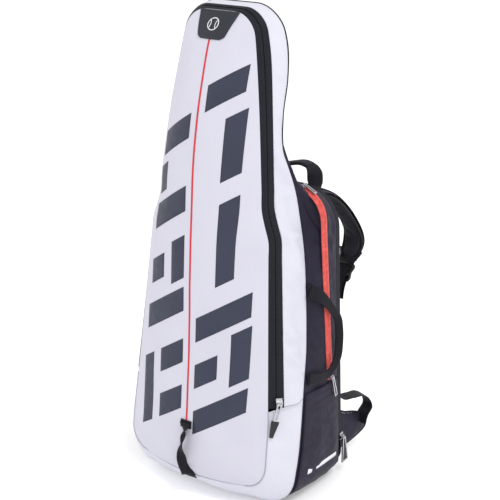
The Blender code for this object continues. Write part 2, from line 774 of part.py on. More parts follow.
def racket_zip_parts():
    """The slider parks at the low end of the right-hand side of the band."""
    along = band_middle(STRAIGHT[1]) - band_middle(STRAIGHT[0])
    out = Vector(RACKET_PULL_OUT).normalized()
    to_gusset = Vector((0.64, 0.77, 0)) * 3.8
    seat = band_middle(FOLD_Z + 10) + out * 1.7 + to_gusset
    slider("racket_slider", seat, along, out, (10.0, 13.0, 5.5))
    hook = seat + out * 6.3
    down = Vector(RACKET_PULL_DOWN).normalized()
    ring_plate("racket_pull_link", hook, down, out, 28.0, (8.0, 6.5), 2.0, hook)
    wedge_tab("racket_pull_tab", hook + down * 28.6, down, out, 26.0, (12.0, 5.0), 3.2, hook)


CORAL_TOP_ANGLE = math.radians(79)
CORAL_TOP_DROOP = math.radians(17)   # how far the upper pull hangs below the slider's line
CORAL_PULL_DOWN = (0, 0.30, -1)


def coral_zip_parts():
    for side, sign in SIDES:
        def coral_point(z):
            return Vector((sign * coral_half(z), coral_y(z), z))

        out = Vector((sign, 0, 0))
        along = coral_point(STRAIGHT[1]) - coral_point(CORAL_LOW_Z)
        seat = coral_point(CORAL_LOW_Z + 9) + out * 0.6
        slider("coral_slider_low_" + side, seat, along, out, (8.0, 10.0, 4.2))
        hook = seat + out * 4.8
        ring_plate("coral_pull_low_" + side, hook, CORAL_PULL_DOWN, out, 36.0, (6.0, 7.5), 1.6, hook)

        sine, cosine = math.sin(CORAL_TOP_ANGLE), math.cos(CORAL_TOP_ANGLE)
        centre = Vector((sign * CORAL_ARC[0], coral_y(460), CORAL_ARC[1]))
        spoke = Vector((sign * cosine, 0, sine))
        tangent = Vector((-sign * sine, 0, cosine))
        top = centre + spoke * (CORAL_RADIUS + 0.8)
        slider("coral_slider_top_" + side, top, tangent, spoke, (8.0, 10.0, 4.6))
        hook = top + spoke * 5.4
        hanging = -tangent * math.cos(CORAL_TOP_DROOP) - spoke * math.sin(CORAL_TOP_DROOP)
        ring_plate("coral_pull_top_" + side, hook, hanging, spoke, 24.0, (6.0, 7.5), 1.6, hook)


BACK_PULL_DOWN = (0, 0.1, -1)


def back_zip_parts():
    low, high = BACK_STRAIGHT
    z = low + 6.0
    for side, sign in SIDES:
        out = Vector((sign, 0, 0))
        seat = Vector((sign * (back_half(z) + 0.5), back_y(z) + BACK_ZIP / 2, z))
        along = Vector((sign * (back_half(high) - back_half(low)), back_y(high) - back_y(low),
                        high - low))
        slider("back_slider_" + side, seat, along, out, (9.0, 12.0, 5.0))
        hook = seat + out * 5.9
        down = Vector(BACK_PULL_DOWN).normalized()
        ring_plate("back_pull_frame_" + side, hook, down, out, 44.0, (7.0, 17.0), 2.2, hook, 2.6)
        wedge_tab("back_pull_core_" + side, hook + down * 15.5 + out * 0.3, down, out, 25.0,
                  (3.4, 9.0), 1.6, hook)


# ---------------------------------------------------------------- build
for old in list(bpy.data.objects):
    bpy.data.objects.remove(old, do_unlink=True)

racket_compartment()
gussets()
coral_zips()
side_pockets()
side_handles()
flat_board("laptop_divider", 126, (79, 83), (12, 330))
flat_board("base_board", 84, (-24, 76), (3, 6))
back()
racket_zip_parts()
coral_zip_parts()
back_zip_parts()
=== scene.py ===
"""Looks of the racket backpack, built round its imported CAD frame.

The outlines repeat those of the CAD model, in millimetres; build() turns them into metres.
"""
import math

import bmesh
import bpy
from mathutils import Matrix, Vector, noise


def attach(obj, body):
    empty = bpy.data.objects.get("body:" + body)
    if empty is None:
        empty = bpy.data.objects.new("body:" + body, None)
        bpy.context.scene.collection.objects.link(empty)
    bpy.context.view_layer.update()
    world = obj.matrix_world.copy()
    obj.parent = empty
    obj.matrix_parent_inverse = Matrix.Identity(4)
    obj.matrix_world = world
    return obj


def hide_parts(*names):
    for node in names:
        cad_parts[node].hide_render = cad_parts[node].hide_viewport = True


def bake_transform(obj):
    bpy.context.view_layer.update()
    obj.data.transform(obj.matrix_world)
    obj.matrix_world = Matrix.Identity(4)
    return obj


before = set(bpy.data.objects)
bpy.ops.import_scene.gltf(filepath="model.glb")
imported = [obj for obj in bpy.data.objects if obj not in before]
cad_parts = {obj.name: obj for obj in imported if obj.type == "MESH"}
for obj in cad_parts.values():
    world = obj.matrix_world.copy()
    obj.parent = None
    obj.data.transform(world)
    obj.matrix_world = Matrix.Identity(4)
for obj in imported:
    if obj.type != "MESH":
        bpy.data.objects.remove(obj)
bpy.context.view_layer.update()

MM = 0.001
UP = Vector((0, 0, 1))
SIDES = (("right", 1), ("left", -1))


# ================================================================ profiles and outlines
PANEL_BOTTOM = 44.0
PANEL_TOP = 747.0
BAND_TOP = 752.0
NECK_TOP = 755.0
FOLD_Z = 174.0
BODY_TOP = 580.0
CORAL_TOP = 487.0
BACK_TOP = 478.0
DOOR_TOP = 474.0
CORAL_LOW_Z = 175.5
CORAL_END_X = 98.5
STRAIGHT_TOP = 400.0
DOME_POWER = 2.2
BACK_ZIP_LOW = 58.0
SINK_LOW = 430.0
SINK_HIGH = 475.0
SINK_IN = 8.0
SINK_DOWN = 14.0
BALL_Z = 728
BALL_RADIUS = 10.0
BALL_SQUASH = 0.86


def profile(points):
    """A smooth curve through (z, value) points."""
    def slope(i):
        low = points[max(i - 1, 0)]
        high = points[min(i + 1, len(points) - 1)]
        return (high[1] - low[1]) / (high[0] - low[0])

    def value(z):
        z = min(max(z, points[0][0]), points[-1][0])
        i = 0
        while i < len(points) - 2 and z > points[i + 1][0]:
            i += 1
        (z0, v0), (z1, v1) = points[i], points[i + 1]
        span = z1 - z0
        t = (z - z0) / span
        ease = t * t * (3 - 2 * t)
        start = slope(i) * span * t * (1 - t) ** 2
        end = slope(i + 1) * span * t * t * (1 - t)
        return v0 + (v1 - v0) * ease + start - end
    return value


crest_y = profile([(38, -98), (50, -105), (75, -107.5), (100, -106.5), (200, -101), (300, -95.5),
                   (400, -91.5), (500, -85.5), (550, -80), (600, -71.5), (650, -60.5),
                   (700, -46), (725, -34), (747, -16.5)])
edge_half = profile([(38, 130), (100, 130.5), (150, 128.7), (175, 126.9), (400, 111), (425, 109.2),
                     (447, 101.8), (470, 95.4), (500, 93.6), (600, 82.4), (680, 70), (747, 58)])
edge_y = profile([(38, -84), (60, -83), (100, -79), (150, -71.8), (175, -69.5), (400, -49),
                  (425, -46.7), (500, -43), (600, -33), (700, -20.5), (747, -16.5)])
band_half = profile([(38, 151), (60, 152), (100, 150), (150, 144.7), (175, 142.3), (400, 120.5),
                     (425, 118.1), (447, 110.5), (470, 103.4), (500, 101.3), (600, 90.7), (680, 81),
                     (720, 73), (752, 66)])
band_y = profile([(38, -68), (60, -67.5), (100, -63), (150, -51.8), (175, -49.5), (400, -28.5),
                  (425, -26.2), (500, -22.5), (600, -12), (700, -1), (752, 1)])
seam_half = profile([(0, 148), (50, 154), (100, 154), (200, 144), (300, 135), (400, 126),
                     (450, 118.8), (500, 111.6), (525, 106.3), (550, 99.4), (600, 93), (650, 89),
                     (700, 84), (755, 72)])
seam_y = profile([(0, -34), (40, -38), (100, -25), (150, -12.5), (200, 0), (250, 11), (350, 19.5),
                  (420, 20), (480, 16), (550, 2), (600, 9), (650, 25), (700, 31), (755, 24)])
coral_half = profile([(0, 146), (60, 151), (150, 146.2), (175, 146), (400, 144), (425, 143.8),
                      (487, 143.5)])
coral_y = profile([(0, 73), (150, 70.7), (175, 68.5), (400, 48.7), (425, 46.5), (487, 43)])
back_half = profile([(0, 141), (30, 143.5), (60, 143), (380, 137.5), (478, 135.8)])
back_y = profile([(0, 102.3), (30, 101.8), (60, 101), (380, 92), (478, 89.2)])
door_half = profile([(0, 140), (60, 139), (380, 133.5), (478, 131.8)])
back_depth = profile([(0, 115.7), (60, 114), (380, 105), (478, 102.2)])


def corner_cut(z, bottom, top, r_bottom, r_top):
    """How far an outline with round corners stands in from its full half width at z."""
    if z < bottom + r_bottom:
        return r_bottom - math.sqrt(max(r_bottom ** 2 - (bottom + r_bottom - z) ** 2, 0.0))
    if z > top - r_top:
        return r_top - math.sqrt(max(r_top ** 2 - (z - top + r_top) ** 2, 0.0))
    return 0.0


class Outline:
    """A closed outline round the bag: flat bottom and top, round corners, depth by height."""

    def __init__(self, half, depth, bottom, top, r_bottom, r_top, upper_steps):
        self.half = half
        self.depth = depth
        self.bottom = bottom
        self.top = top
        self.r_bottom = r_bottom
        self.r_top = r_top
        self.upper_steps = upper_steps

    def reach(self, z, inset=0.0):
        cut = corner_cut(z, self.bottom, self.top, self.r_bottom, self.r_top)
        return self.half(z) - cut - inset

    def heights(self):
        turn = 10
        lower = self.bottom + self.r_bottom
        upper = self.top - self.r_top
        found = [self.bottom + self.r_bottom * (1 - math.cos(math.pi / 2 * i / turn))
                 for i in range(turn)]
        knots = (lower, FOLD_Z, CORAL_LOW_Z, STRAIGHT_TOP, upper)
        for low, high, steps in zip(knots, knots[1:], (18, 2, 42, self.upper_steps)):
            found += [low + (high - low) * i / steps for i in range(steps)]
        return found + [upper + self.r_top * math.sin(math.pi / 2 * i / turn)
                        for i in range(turn + 1)]

    def side(self, inset=0.0):
        """The right-hand half, from the middle of the bottom to the middle of the top."""
        flat = 14
        span = self.top - self.bottom
        low = self.reach(self.bottom)
        high = self.reach(self.top)
        points = [Vector((low * i / flat, self.depth(self.bottom), self.bottom + inset))
                  for i in range(flat)]
        for z in self.heights():
            z_in = self.bottom + inset + (z - self.bottom) / span * (span - 2 * inset)
            points.append(Vector((self.reach(z, inset), self.depth(z), z_in)))
        points += [Vector((high * (1 - i / flat), self.depth(self.top), self.top - inset))
                   for i in range(1, flat + 1)]
        return points

    def loop(self, inset=0.0):
        side = self.side(inset)
        return side + [Vector((-p.x, p.y, p.z)) for p in reversed(side[1:-1])]


PANEL_EDGE = Outline(edge_half, edge_y, PANEL_BOTTOM, PANEL_TOP, 38, 32, 62)
BAND_EDGE = Outline(band_half, band_y, PANEL_BOTTOM - 4, BAND_TOP, 38, 32, 62)
RACKET_SEAM = Outline(seam_half, seam_y, 0, NECK_TOP, 50, 36, 62)
BODY_FRONT = Outline(seam_half, seam_y, 0, BODY_TOP, 50, 16, 24)
CORAL_LINE = Outline(coral_half, coral_y, 0, CORAL_TOP, 34, 46, 24)
BACK_LINE = Outline(back_half, back_y, 2, BACK_TOP, 26, 60, 24)
DOOR_LINE = Outline(door_half, back_depth, 10, DOOR_TOP, 26, 58, 24)


# ================================================================ numbers that shape cloth
def smoothstep(low, high, x):
    t = min(max((x - low) / (high - low), 0.0), 1.0)
    return t * t * (3 - 2 * t)


def side_share(x):
    """From -1 on the left side to 1 on the right."""
    return max(-1.0, min(1.0, x / 60))


def folds(point, size, stretch=(1.0, 1.0, 1.0), seed=0.0):
    """Smooth noise between about -1 and 1, with bumps of about this size in millimetres."""
    p = Vector([value / (size * wider) for value, wider in zip(point, stretch)])
    return noise.noise(p + Vector((seed, seed * 1.7, seed * 0.6))) * 1.6


def ridged(value):
    """Turns smooth noise into soft creases with sharper crests."""
    return 1 - 2 * abs(value)


def slanted_folds(point, size, angle, seed):
    """Long creases that run at an angle in the plane of the bag's side (Y and Z)."""
    c, s = math.cos(angle), math.sin(angle)
    along = point.y * c + point.z * s
    across = -point.y * s + point.z * c
    p = Vector((along / (size * 3.2), across / size, point.x / 200 + seed))
    return noise.noise(p) * 1.6


# ================================================================ building meshes
def build(name, points, faces, uvs=None, smooth=True):
    """A mesh object from points in millimetres; uvs holds one pair of metres per point."""
    mesh = bpy.data.meshes.new(name)
    mesh.from_pydata([Vector(p) * MM for p in points], [], faces)
    mesh.update()
    if uvs:
        layer = mesh.uv_layers.new(name="UVMap")
        for loop in mesh.loops:
            layer.data[loop.index].uv = uvs[loop.vertex_index]
    shape = bmesh.new()
    shape.from_mesh(mesh)
    bmesh.ops.recalc_face_normals(shape, faces=shape.faces)
    shape.to_mesh(mesh)
    shape.free()
    if smooth:
        mesh.shade_smooth()
    piece = bpy.data.objects.new(name, mesh)
    bpy.context.scene.collection.objects.link(piece)
    return piece


def lengths_along(points):
    total = [0.0]
    for a, b in zip(points, points[1:]):
        total.append(total[-1] + (b - a).length * MM)
    return total


def grid(name, rows, around=False, along=False, caps=False):
    """A surface through rows of points. around closes each row, along joins last to first."""
    count = len(rows[0])
    points = [p for row in rows for p in row]
    faces = []
    for i in range(len(rows) if along else len(rows) - 1):
        here = i * count
        there = (i + 1) % len(rows) * count
        for j in range(count if around else count - 1):
            k = (j + 1) % count
            faces.append((here + j, here + k, there + k, there + j))
    if caps:
        faces.append(tuple(range(count)))
        last = (len(rows) - 1) * count
        faces.append(tuple(last + j for j in reversed(range(count))))
    across = lengths_along([row[0] for row in rows])
    longest = lengths_along(rows[len(rows) // 2])
    uvs = [(longest[j], across[i]) for i in range(len(rows)) for j in range(count)]
    return build(name, points, faces, uvs)


def thicken(piece, thickness, offset=-1.0):
    """Gives a sheet a real thickness."""
    shell = piece.modifiers.new("Thickness", "SOLIDIFY")
    shell.thickness = thickness * MM
    shell.offset = offset
    shell.use_even_offset = False
    return piece


def face_front(piece):
    """Turns every face towards the front of the bag."""
    for face in piece.data.polygons:
        if face.normal.y > 0:
            face.flip()


def paint_with(piece, material):
    piece.data.materials.clear()
    piece.data.materials.append(material)


def line_inside(piece):
    """The grey lining on the inner face of a thickened and painted sheet."""
    piece.data.materials.append(LINING)
    piece.modifiers["Thickness"].material_offset = 1


def dress(piece, material, body, slot, *replaced):
    """Material, body and the CAD nodes that a piece stands for; slot is not used."""
    paint_with(piece, material)
    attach(piece, body)
    if replaced:
        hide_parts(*replaced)
    return piece


def grid_normals(rows, around=False):
    """Unit normals at each point of a grid of rows."""
    found = []
    for i, row in enumerate(rows):
        above = rows[min(i + 1, len(rows) - 1)]
        below = rows[max(i - 1, 0)]
        line = []
        for j in range(len(row)):
            if around:
                ahead, back = row[(j + 1) % len(row)], row[j - 1]
            else:
                ahead, back = row[min(j + 1, len(row) - 1)], row[max(j - 1, 0)]
            normal = (ahead - back).cross(above[j] - below[j])
            line.append(normal.normalized() if normal.length > 1e-9 else Vector((0, 0, 1)))
        found.append(line)
    return found


def facing_out(rows):
    """+1 where grid normals point out of the bag, else -1."""
    middle = len(rows[0]) // 4
    normal = grid_normals(rows)[len(rows) // 2][middle]
    spot = rows[len(rows) // 2][middle]
    return 1.0 if normal.dot(Vector((spot.x, spot.y - 40, 0))) > 0 else -1.0


def shaped(rows, height, around=False):
    """Moves each point outwards along its normal by height(point, row number)."""
    normals = grid_normals(rows, around)
    facing = facing_out(rows)
    return [[p + normals[i][j] * height(p, i) * facing for j, p in enumerate(row)]
            for i, row in enumerate(rows)]


def between(first, second, share):
    return [a.lerp(b, share) for a, b in zip(first, second)]


def arched(first, middle, last, share):
    """A row on the parabola through three rows."""
    row = []
    for a, m, b in zip(first, middle, last):
        pull = m * 2 - (a + b) / 2
        row.append(a * (1 - share) ** 2 + pull * (2 * share * (1 - share)) + b * share ** 2)
    return row


def smooth_path(points, steps):
    """A smooth path through given points, with some steps between each pair."""
    points = [Vector(p) for p in points]
    path = []
    for i in range(len(points) - 1):
        before = points[max(i - 1, 0)]
        start = points[i]
        end = points[i + 1]
        after = points[min(i + 2, len(points) - 1)]
        for s in range(steps):
            t = s / steps
            path.append(0.5 * (2 * start + (end - before) * t
                               + (2 * before - 5 * start + 4 * end - after) * t * t
                               + (3 * start - before - 3 * end + after) * t ** 3))
    path.append(points[-1])
    return path


def tangent_at(path, i):
    return (path[min(i + 1, len(path) - 1)] - path[max(i - 1, 0)]).normalized()


def square_to(side, tangent):
    """The part of side at right angles to tangent, as a unit vector."""
    return (side - tangent * side.dot(tangent)).normalized()


def oval(count, squash_a, squash_b):
    """(a, b) pairs round a rounded rectangle, each from -1 to 1; a smaller power is squarer."""
    found = []
    for k in range(count):
        angle = 2 * math.pi * k / count
        c, s = math.cos(angle), math.sin(angle)
        found.append((math.copysign(abs(c) ** squash_a, c), math.copysign(abs(s) ** squash_b, s)))
    return found


def value_at(value, *where):
    """A fixed value, or what a function gives for this place."""
    return value(*where) if callable(value) else value


def webbing(name, path, side_at, width, thickness):
    """Flat webbing with rounded edges.

    width and thickness are numbers or functions of the share along the path; side_at is a
    direction or a function of that share and the tangent.
    """
    rows = []
    section = oval(16, 0.35, 0.8)
    shares = [i / (len(path) - 1) for i in range(len(path))]
    for i, point in enumerate(path):
        tangent = tangent_at(path, i)
        side = square_to(value_at(side_at, shares[i], tangent), tangent)
        up = side.cross(tangent)
        half = value_at(width, shares[i]) / 2
        thick = value_at(thickness, shares[i]) / 2
        rows.append([point + side * half * a + up * thick * b for a, b in section])
    piece = grid(name, rows, around=True, caps=True)
    along = lengths_along(path)
    layer = piece.data.uv_layers["UVMap"]
    for loop in piece.data.loops:
        i, k = divmod(loop.vertex_index, len(section))
        across = section[k][0] * value_at(width, shares[i]) / 2 * MM
        layer.data[loop.index].uv = (across, along[i])
    return piece


def tube(name, path, radius, closed=False, sides=8):
    """A round tube along a path."""
    rows = []
    count = len(path)
    turns = [2 * math.pi * k / sides for k in range(sides)]
    side = Vector((0.13, 0.31, 0.94))
    for i, point in enumerate(path):
        ahead = path[(i + 1) % count] if closed else path[min(i + 1, count - 1)]
        back = path[i - 1] if closed else path[max(i - 1, 0)]
        tangent = (ahead - back).normalized()
        side = square_to(side, tangent)
        up = side.cross(tangent)
        rows.append([point + (side * math.cos(t) + up * math.sin(t)) * radius for t in turns])
    return grid(name, rows, around=True, along=closed, caps=not closed)


def scattered_blocks(name, blocks):
    """One mesh of many small blocks, each a centre and three half axes."""
    corners = [(x, y, z) for z in (-1, 1) for x, y in ((-1, -1), (1, -1), (1, 1), (-1, 1))]
    sides = [(0, 3, 2, 1), (4, 5, 6, 7), (0, 1, 5, 4), (1, 2, 6, 5), (2, 3, 7, 6), (3, 0, 4, 7)]
    points = []
    faces = []
    for centre, a, b, c in blocks:
        start = len(points)
        for x, y, z in corners:
            squeeze = 0.7 if z > 0 else 1.0
            points.append(centre + a * x * squeeze + b * y * squeeze + c * z)
        faces += [tuple(start + k for k in side) for side in sides]
    return build(name, points, faces, smooth=False)


def stepped(path, pitch):
    """Places every pitch along a path, each a point and a tangent."""
    marks = []
    travelled = 0.0
    wanted = pitch / 2
    for a, b in zip(path, path[1:]):
        run = (b - a).length
        while run > 0 and wanted <= travelled + run:
            marks.append((a.lerp(b, (wanted - travelled) / run), (b - a) / run))
            wanted += pitch
        travelled += run
    return marks


def stitches(name, lines, material, body, slot, pitch=3.6, length=2.3):
    """Rows of thread along (path, outward) lines. outward is a function of a point."""
    width, height = 0.45, 0.3
    blocks = []
    for path, outward in lines:
        for point, tangent in stepped(path, pitch):
            out = square_to(outward(point), tangent)
            side = tangent.cross(out)
            blocks.append((point + out * height * 0.4, tangent * length / 2, side * width / 2,
                           out * height))
    return dress(scattered_blocks(name, blocks), material, body, slot)


# ================================================================ materials
def set_inputs(node, **values):
    """Input values by name; an underscore stands for a space."""
    for key, value in values.items():
        node.inputs[key.replace("_", " ")].default_value = value


class Paint:
    """A small helper that builds one node material."""

    def __init__(self, name, roughness, metallic=0.0):
        self.material = bpy.data.materials.new(name)
        self.material.use_nodes = True
        self.tree = self.material.node_tree
        self.shader = self.tree.nodes["Principled BSDF"]
        set_inputs(self.shader, Roughness=roughness, Metallic=metallic)
        self.place = self.tree.nodes.new("ShaderNodeTexCoord")

    def node(self, kind, **values):
        made = self.tree.nodes.new(kind)
        for key, value in values.items():
            setattr(made, key, value)
        return made

    def link(self, source, target):
        self.tree.links.new(source, target)

    def noise(self, scale, detail=2.0, coordinate="Object", roughness=0.5):
        made = self.node("ShaderNodeTexNoise")
        set_inputs(made, Scale=scale, Detail=detail, Roughness=roughness)
        self.link(self.place.outputs[coordinate], made.inputs["Vector"])
        return made.outputs["Fac"]

    def stripes(self, axis, period, coordinate="Object"):
        """Sine stripes across an axis, one per period in metres."""
        made = self.node("ShaderNodeTexWave", bands_direction=axis)
        set_inputs(made, Scale=2 * math.pi / 20 / period, Distortion=0.0)
        self.link(self.place.outputs[coordinate], made.inputs["Vector"])
        return made.outputs["Fac"]

    def cells(self, size):
        """Distance from the edges of cells of about this size in metres."""
        made = self.node("ShaderNodeTexVoronoi", feature="DISTANCE_TO_EDGE")
        set_inputs(made, Scale=1 / size)
        self.link(self.place.outputs["Object"], made.inputs["Vector"])
        return made.outputs["Distance"]

    def maths(self, operation, first, second):
        made = self.node("ShaderNodeMath", operation=operation)
        for socket, value in zip(made.inputs, (first, second)):
            if isinstance(value, (int, float)):
                socket.default_value = value
            else:
                self.link(value, socket)
        return made.outputs["Value"]

    def mixed(self, first, share, second):
        """A share of the first value and the rest of the second."""
        kept = self.maths("MULTIPLY", first, share)
        return self.maths("ADD", kept, self.maths("MULTIPLY", second, 1 - share))

    def ramp(self, source, stops):
        made = self.node("ShaderNodeValToRGB")
        scale = made.color_ramp
        while len(scale.elements) < len(stops):
            scale.elements.new(0.5)
        for element, (place, value) in zip(scale.elements, stops):
            element.position = place
            colour = value if isinstance(value, tuple) else (value, value, value)
            element.color = (*colour, 1.0)
        self.link(source, made.inputs["Fac"])
        return made.outputs["Color"]

    def colour_from(self, source, dark, light, low=0.3, high=0.7):
        self.link(self.ramp(source, ((low, dark), (high, light))), self.shader.inputs["Base Color"])

    def rough_from(self, source, low, high):
        self.link(self.ramp(source, ((0.3, low), (0.7, high))), self.shader.inputs["Roughness"])

    def bump(self, layers):
        """layers are (height source, depth in metres), stacked."""
        previous = None
        for source, depth in layers:
            made = self.node("ShaderNodeBump")
            set_inputs(made, Strength=0.9, Distance=depth)
            self.link(source, made.inputs["Height"])
            if previous:
                self.link(previous, made.inputs["Normal"])
            previous = made.outputs["Normal"]
        self.link(previous, self.shader.inputs["Normal"])

    def soft(self, sheen):
        """Cloth: little mirror reflection and a faint pile."""
        set_inputs(self.shader, Specular_IOR_Level=0.16, Sheen_Weight=sheen, Sheen_Roughness=0.45)
        return self


def scaled(colour, amount):
    return tuple(min(c * amount, 1.0) for c in colour)


def woven(name, colour, roughness, thread, depth, crumple, sheen, contrast=0.08, place="Object"):
    """Plain-woven fabric: crossing threads, slubs, slow colour drift and small crumples."""
    paint = Paint(name, roughness)
    warp = paint.stripes("X", thread, place)
    fill = paint.stripes("Z", thread, place)
    deep = paint.stripes("Y", thread, place)
    threads = paint.maths("ADD", paint.maths("ADD", warp, fill), deep)
    grain = paint.noise(1.1 / thread, 1.0, place)
    drift = paint.noise(14.0, 4.0, place)
    paint.colour_from(paint.mixed(drift, 0.6, grain), scaled(colour, 1 - contrast),
                      scaled(colour, 1 + contrast), 0.35, 0.65)
    paint.rough_from(paint.noise(90.0, 2.0, place), roughness - 0.08, roughness + 0.08)
    crumples = paint.noise(70.0, 4.0, place)
    paint.bump(((crumples, crumple), (grain, depth * 0.6), (threads, depth * 0.35)))
    return paint.soft(sheen).material


def ribbed(name, colour, roughness, rib, depth, sheen):
    """Webbing or tape: ribs across it and fine twill lines, laid along its own length."""
    paint = Paint(name, roughness)
    ribs = paint.stripes("Y", rib, "UV")
    twill = paint.stripes("DIAGONAL", rib * 0.7, "UV")
    worn = paint.noise(160.0, 3.0, "UV")
    paint.colour_from(paint.mixed(worn, 0.7, ribs), scaled(colour, 0.65), scaled(colour, 1.6),
                      0.3, 0.8)
    paint.rough_from(worn, roughness - 0.1, roughness + 0.08)
    paint.bump(((ribs, depth), (twill, depth * 0.5), (worn, depth)))
    return paint.soft(sheen).material


def air_mesh(name, colour, hole, depth):
    """Spacer mesh: small holes in a soft open knit; the middle of each hole is painted dark, as the
    shade inside it.
    """
    paint = Paint(name, 0.88)
    holes = paint.cells(hole)
    fuzz = paint.noise(900.0, 2.0)
    # Painted shade: the middle of each hole is painted far darker than the knit round it, as if
    # shade lay inside the hole.
    paint.colour_from(holes, scaled(colour, 1.7), scaled(colour, 0.25), 0.12, 0.42)
    inverse = paint.maths("SUBTRACT", 1.0, holes)
    paint.bump(((inverse, depth), (fuzz, depth * 0.4), (paint.noise(40.0, 3.0), depth)))
    return paint.soft(0.04).material


def moulded(name, colour, roughness, grain, depth, metallic=0.0):
    """Moulded plastic, rubber or metal with a fine grain and handling marks."""
    paint = Paint(name, roughness, metallic)
    fine = paint.noise(grain, 3.0)
    marks = paint.noise(grain * 0.12, 5.0, roughness=0.7)
    paint.colour_from(marks, scaled(colour, 0.85), scaled(colour, 1.12), 0.35, 0.65)
    paint.rough_from(marks, max(roughness - 0.08, 0.05), roughness + 0.1)
    paint.bump(((fine, depth), (marks, depth)))
    return paint.material


# Depths and sizes below are in metres.
# woven: name, colour, roughness, thread, thread depth, crumple depth, sheen, contrast, place.
WHITE = woven("white_polyester", (0.575, 0.575, 0.645), 0.62, 0.0009, 0.00008, 0.0006, 0.05, 0.03)
PANEL_WHITE = woven("panel_polyester", (0.54, 0.53, 0.605), 0.58, 0.0008, 0.00006, 0.0004, 0.04,
                    0.025, "UV")
LINING = woven("grey_lining", (0.13, 0.13, 0.15), 0.75, 0.0011, 0.0001, 0.0008, 0.04, 0.12, "UV")
CHARCOAL = woven("charcoal_polyester", (0.0155, 0.0125, 0.027), 0.62, 0.0012, 0.00012, 0.0010,
                 0.03, 0.22)
BLACK_CLOTH = woven("black_polyester", (0.0085, 0.0085, 0.0135), 0.70, 0.0012, 0.00012, 0.0009,
                    0.03, 0.25)
PRINT = woven("slate_print", (0.038, 0.042, 0.066), 0.50, 0.0008, 0.00005, 0.0003, 0.01, 0.10, "UV")
RED_LINE = woven("red_line", (0.56, 0.035, 0.05), 0.50, 0.0008, 0.00005, 0.0003, 0.02, 0.06, "UV")
# ribbed: name, colour, roughness, rib, depth, sheen.
WEB = ribbed("black_webbing_weave", (0.007, 0.007, 0.011), 0.62, 0.0022, 0.00035, 0.03)
TAPE = ribbed("zip_tape_weave", (0.0085, 0.009, 0.016), 0.55, 0.0014, 0.00015, 0.03)
CORAL = ribbed("coral_zip_weave", (0.57, 0.080, 0.068), 0.45, 0.0012, 0.00010, 0.02)
# air_mesh: name, colour, hole, depth.
MESH = air_mesh("air_mesh", (0.018, 0.018, 0.023), 0.0032, 0.0006)
BINDING = ribbed("binding_tape", (0.009, 0.009, 0.013), 0.55, 0.0010, 0.00015, 0.03)
# moulded: name, colour, roughness, grain (bumps per metre), depth, metallic.
PATCH = moulded("moulded_patch", (0.008, 0.010, 0.019), 0.62, 900.0, 0.00006)
GLYPH = moulded("pale_print", (0.72, 0.73, 0.78), 0.45, 800.0, 0.00003)
SILVER = moulded("polished_zinc", (0.46, 0.46, 0.49), 0.26, 700.0, 0.00002, 1.0)
PLASTIC = moulded("black_nylon", (0.005, 0.005, 0.007), 0.50, 1200.0, 0.00005)
COIL = moulded("zip_coil", (0.006, 0.006, 0.009), 0.45, 900.0, 0.00002)
BOARD = moulded("board", (0.04, 0.04, 0.045), 0.60, 500.0, 0.00008)
WHITE_THREAD = moulded("white_thread", (0.62, 0.62, 0.70), 0.55, 1500.0, 0.00004)
# Painted seam shadow: grey for thin tubes laid along seams of the white side wall, standing for
# each seam's shadow line.
SEAM_SHADOW_GREY = moulded("painted_seam_shadow", (0.30, 0.30, 0.36), 0.60, 1500.0, 0.00003)
DARK_THREAD = moulded("dark_thread", (0.018, 0.016, 0.023), 0.60, 1500.0, 0.00004)


# ================================================================ racket compartment
def panel_relief(x, z):
    """Soft unevenness of the padded front, in millimetres outwards, fading at its edges."""
    reach = max(PANEL_EDGE.reach(z), 1.0)
    away = 1 - min(abs(x) / reach, 1.0)
    fade = (smoothstep(0.0, 0.12, away) * smoothstep(0, 26, z - PANEL_BOTTOM)
            * smoothstep(0, 30, PANEL_TOP - z))
    spot = Vector((x, 0, z))
    broad = folds(spot, 120, (0.8, 1, 1.3), 3.0) * 1.6
    fine = folds(spot, 34, (1, 1, 1.5), 9.0) * 0.35
    corner = smoothstep(0.25, 0.9, abs(x) / reach) * smoothstep(230, 90, z)
    drag = ridged(folds(Vector((x + z * 0.7, 0, z - x * 0.7)), 34, (1, 1, 4.0), 5.0)) * 0.8 * corner
    return (broad + fine + drag) * fade


def panel_point(x, z, lift=0.0):
    """A point on the domed front, raised outwards by lift."""
    reach = max(PANEL_EDGE.reach(z), 1.0)
    share = min(abs(x) / reach, 1.0)
    depth = edge_y(z) - crest_y(z)
    y = crest_y(z) + depth * share ** DOME_POWER - panel_relief(x, z)
    slope = depth * DOME_POWER * share ** (DOME_POWER - 1) / reach
    out = Vector((math.copysign(slope, x), -1, 0)).normalized()
    return Vector((x, y, z)) + out * lift


def bend_at_fold(piece, material, slot, *replaced):
    """For cloth that crosses the flap's fold."""
    paint_with(piece, material)
    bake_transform(piece)
    if replaced:
        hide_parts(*replaced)
    return piece


def spread(count):
    """Shares from -1 to 1 across a sheet, closer together near its edges."""
    return [math.sin(math.pi / 2 * (2 * i / count - 1)) for i in range(count + 1)]


def front_panel():
    rows = [[panel_point(PANEL_EDGE.reach(z) * s, z) for s in spread(80)]
            for z in PANEL_EDGE.heights()]
    piece = thicken(grid("front_panel_fabric", rows), 2.4)
    bend_at_fold(piece, PANEL_WHITE, "white_fabric", "front_flap", "front_panel_lower")
    line_inside(piece)


def cut_sheet(outline, step=6.0):
    """A flat shape in X and Z, cut into a fine net, as points and faces."""
    shape = bmesh.new()
    shape.faces.new([shape.verts.new((x, 0, z)) for x, z in outline])
    xs = [x for x, z in outline]
    zs = [z for x, z in outline]
    for low, high, normal in ((min(xs), max(xs), Vector((1, 0, 0))), (min(zs), max(zs), UP)):
        place = low + step
        while place < high:
            everything = shape.verts[:] + shape.edges[:] + shape.faces[:]
            bmesh.ops.bisect_plane(shape, geom=everything, dist=1e-5, plane_co=normal * place,
                                   plane_no=normal)
            place += step
    shape.verts.ensure_lookup_table()
    points = [v.co.copy() for v in shape.verts]
    faces = [[v.index for v in f.verts] for f in shape.faces]
    shape.free()
    return points, faces


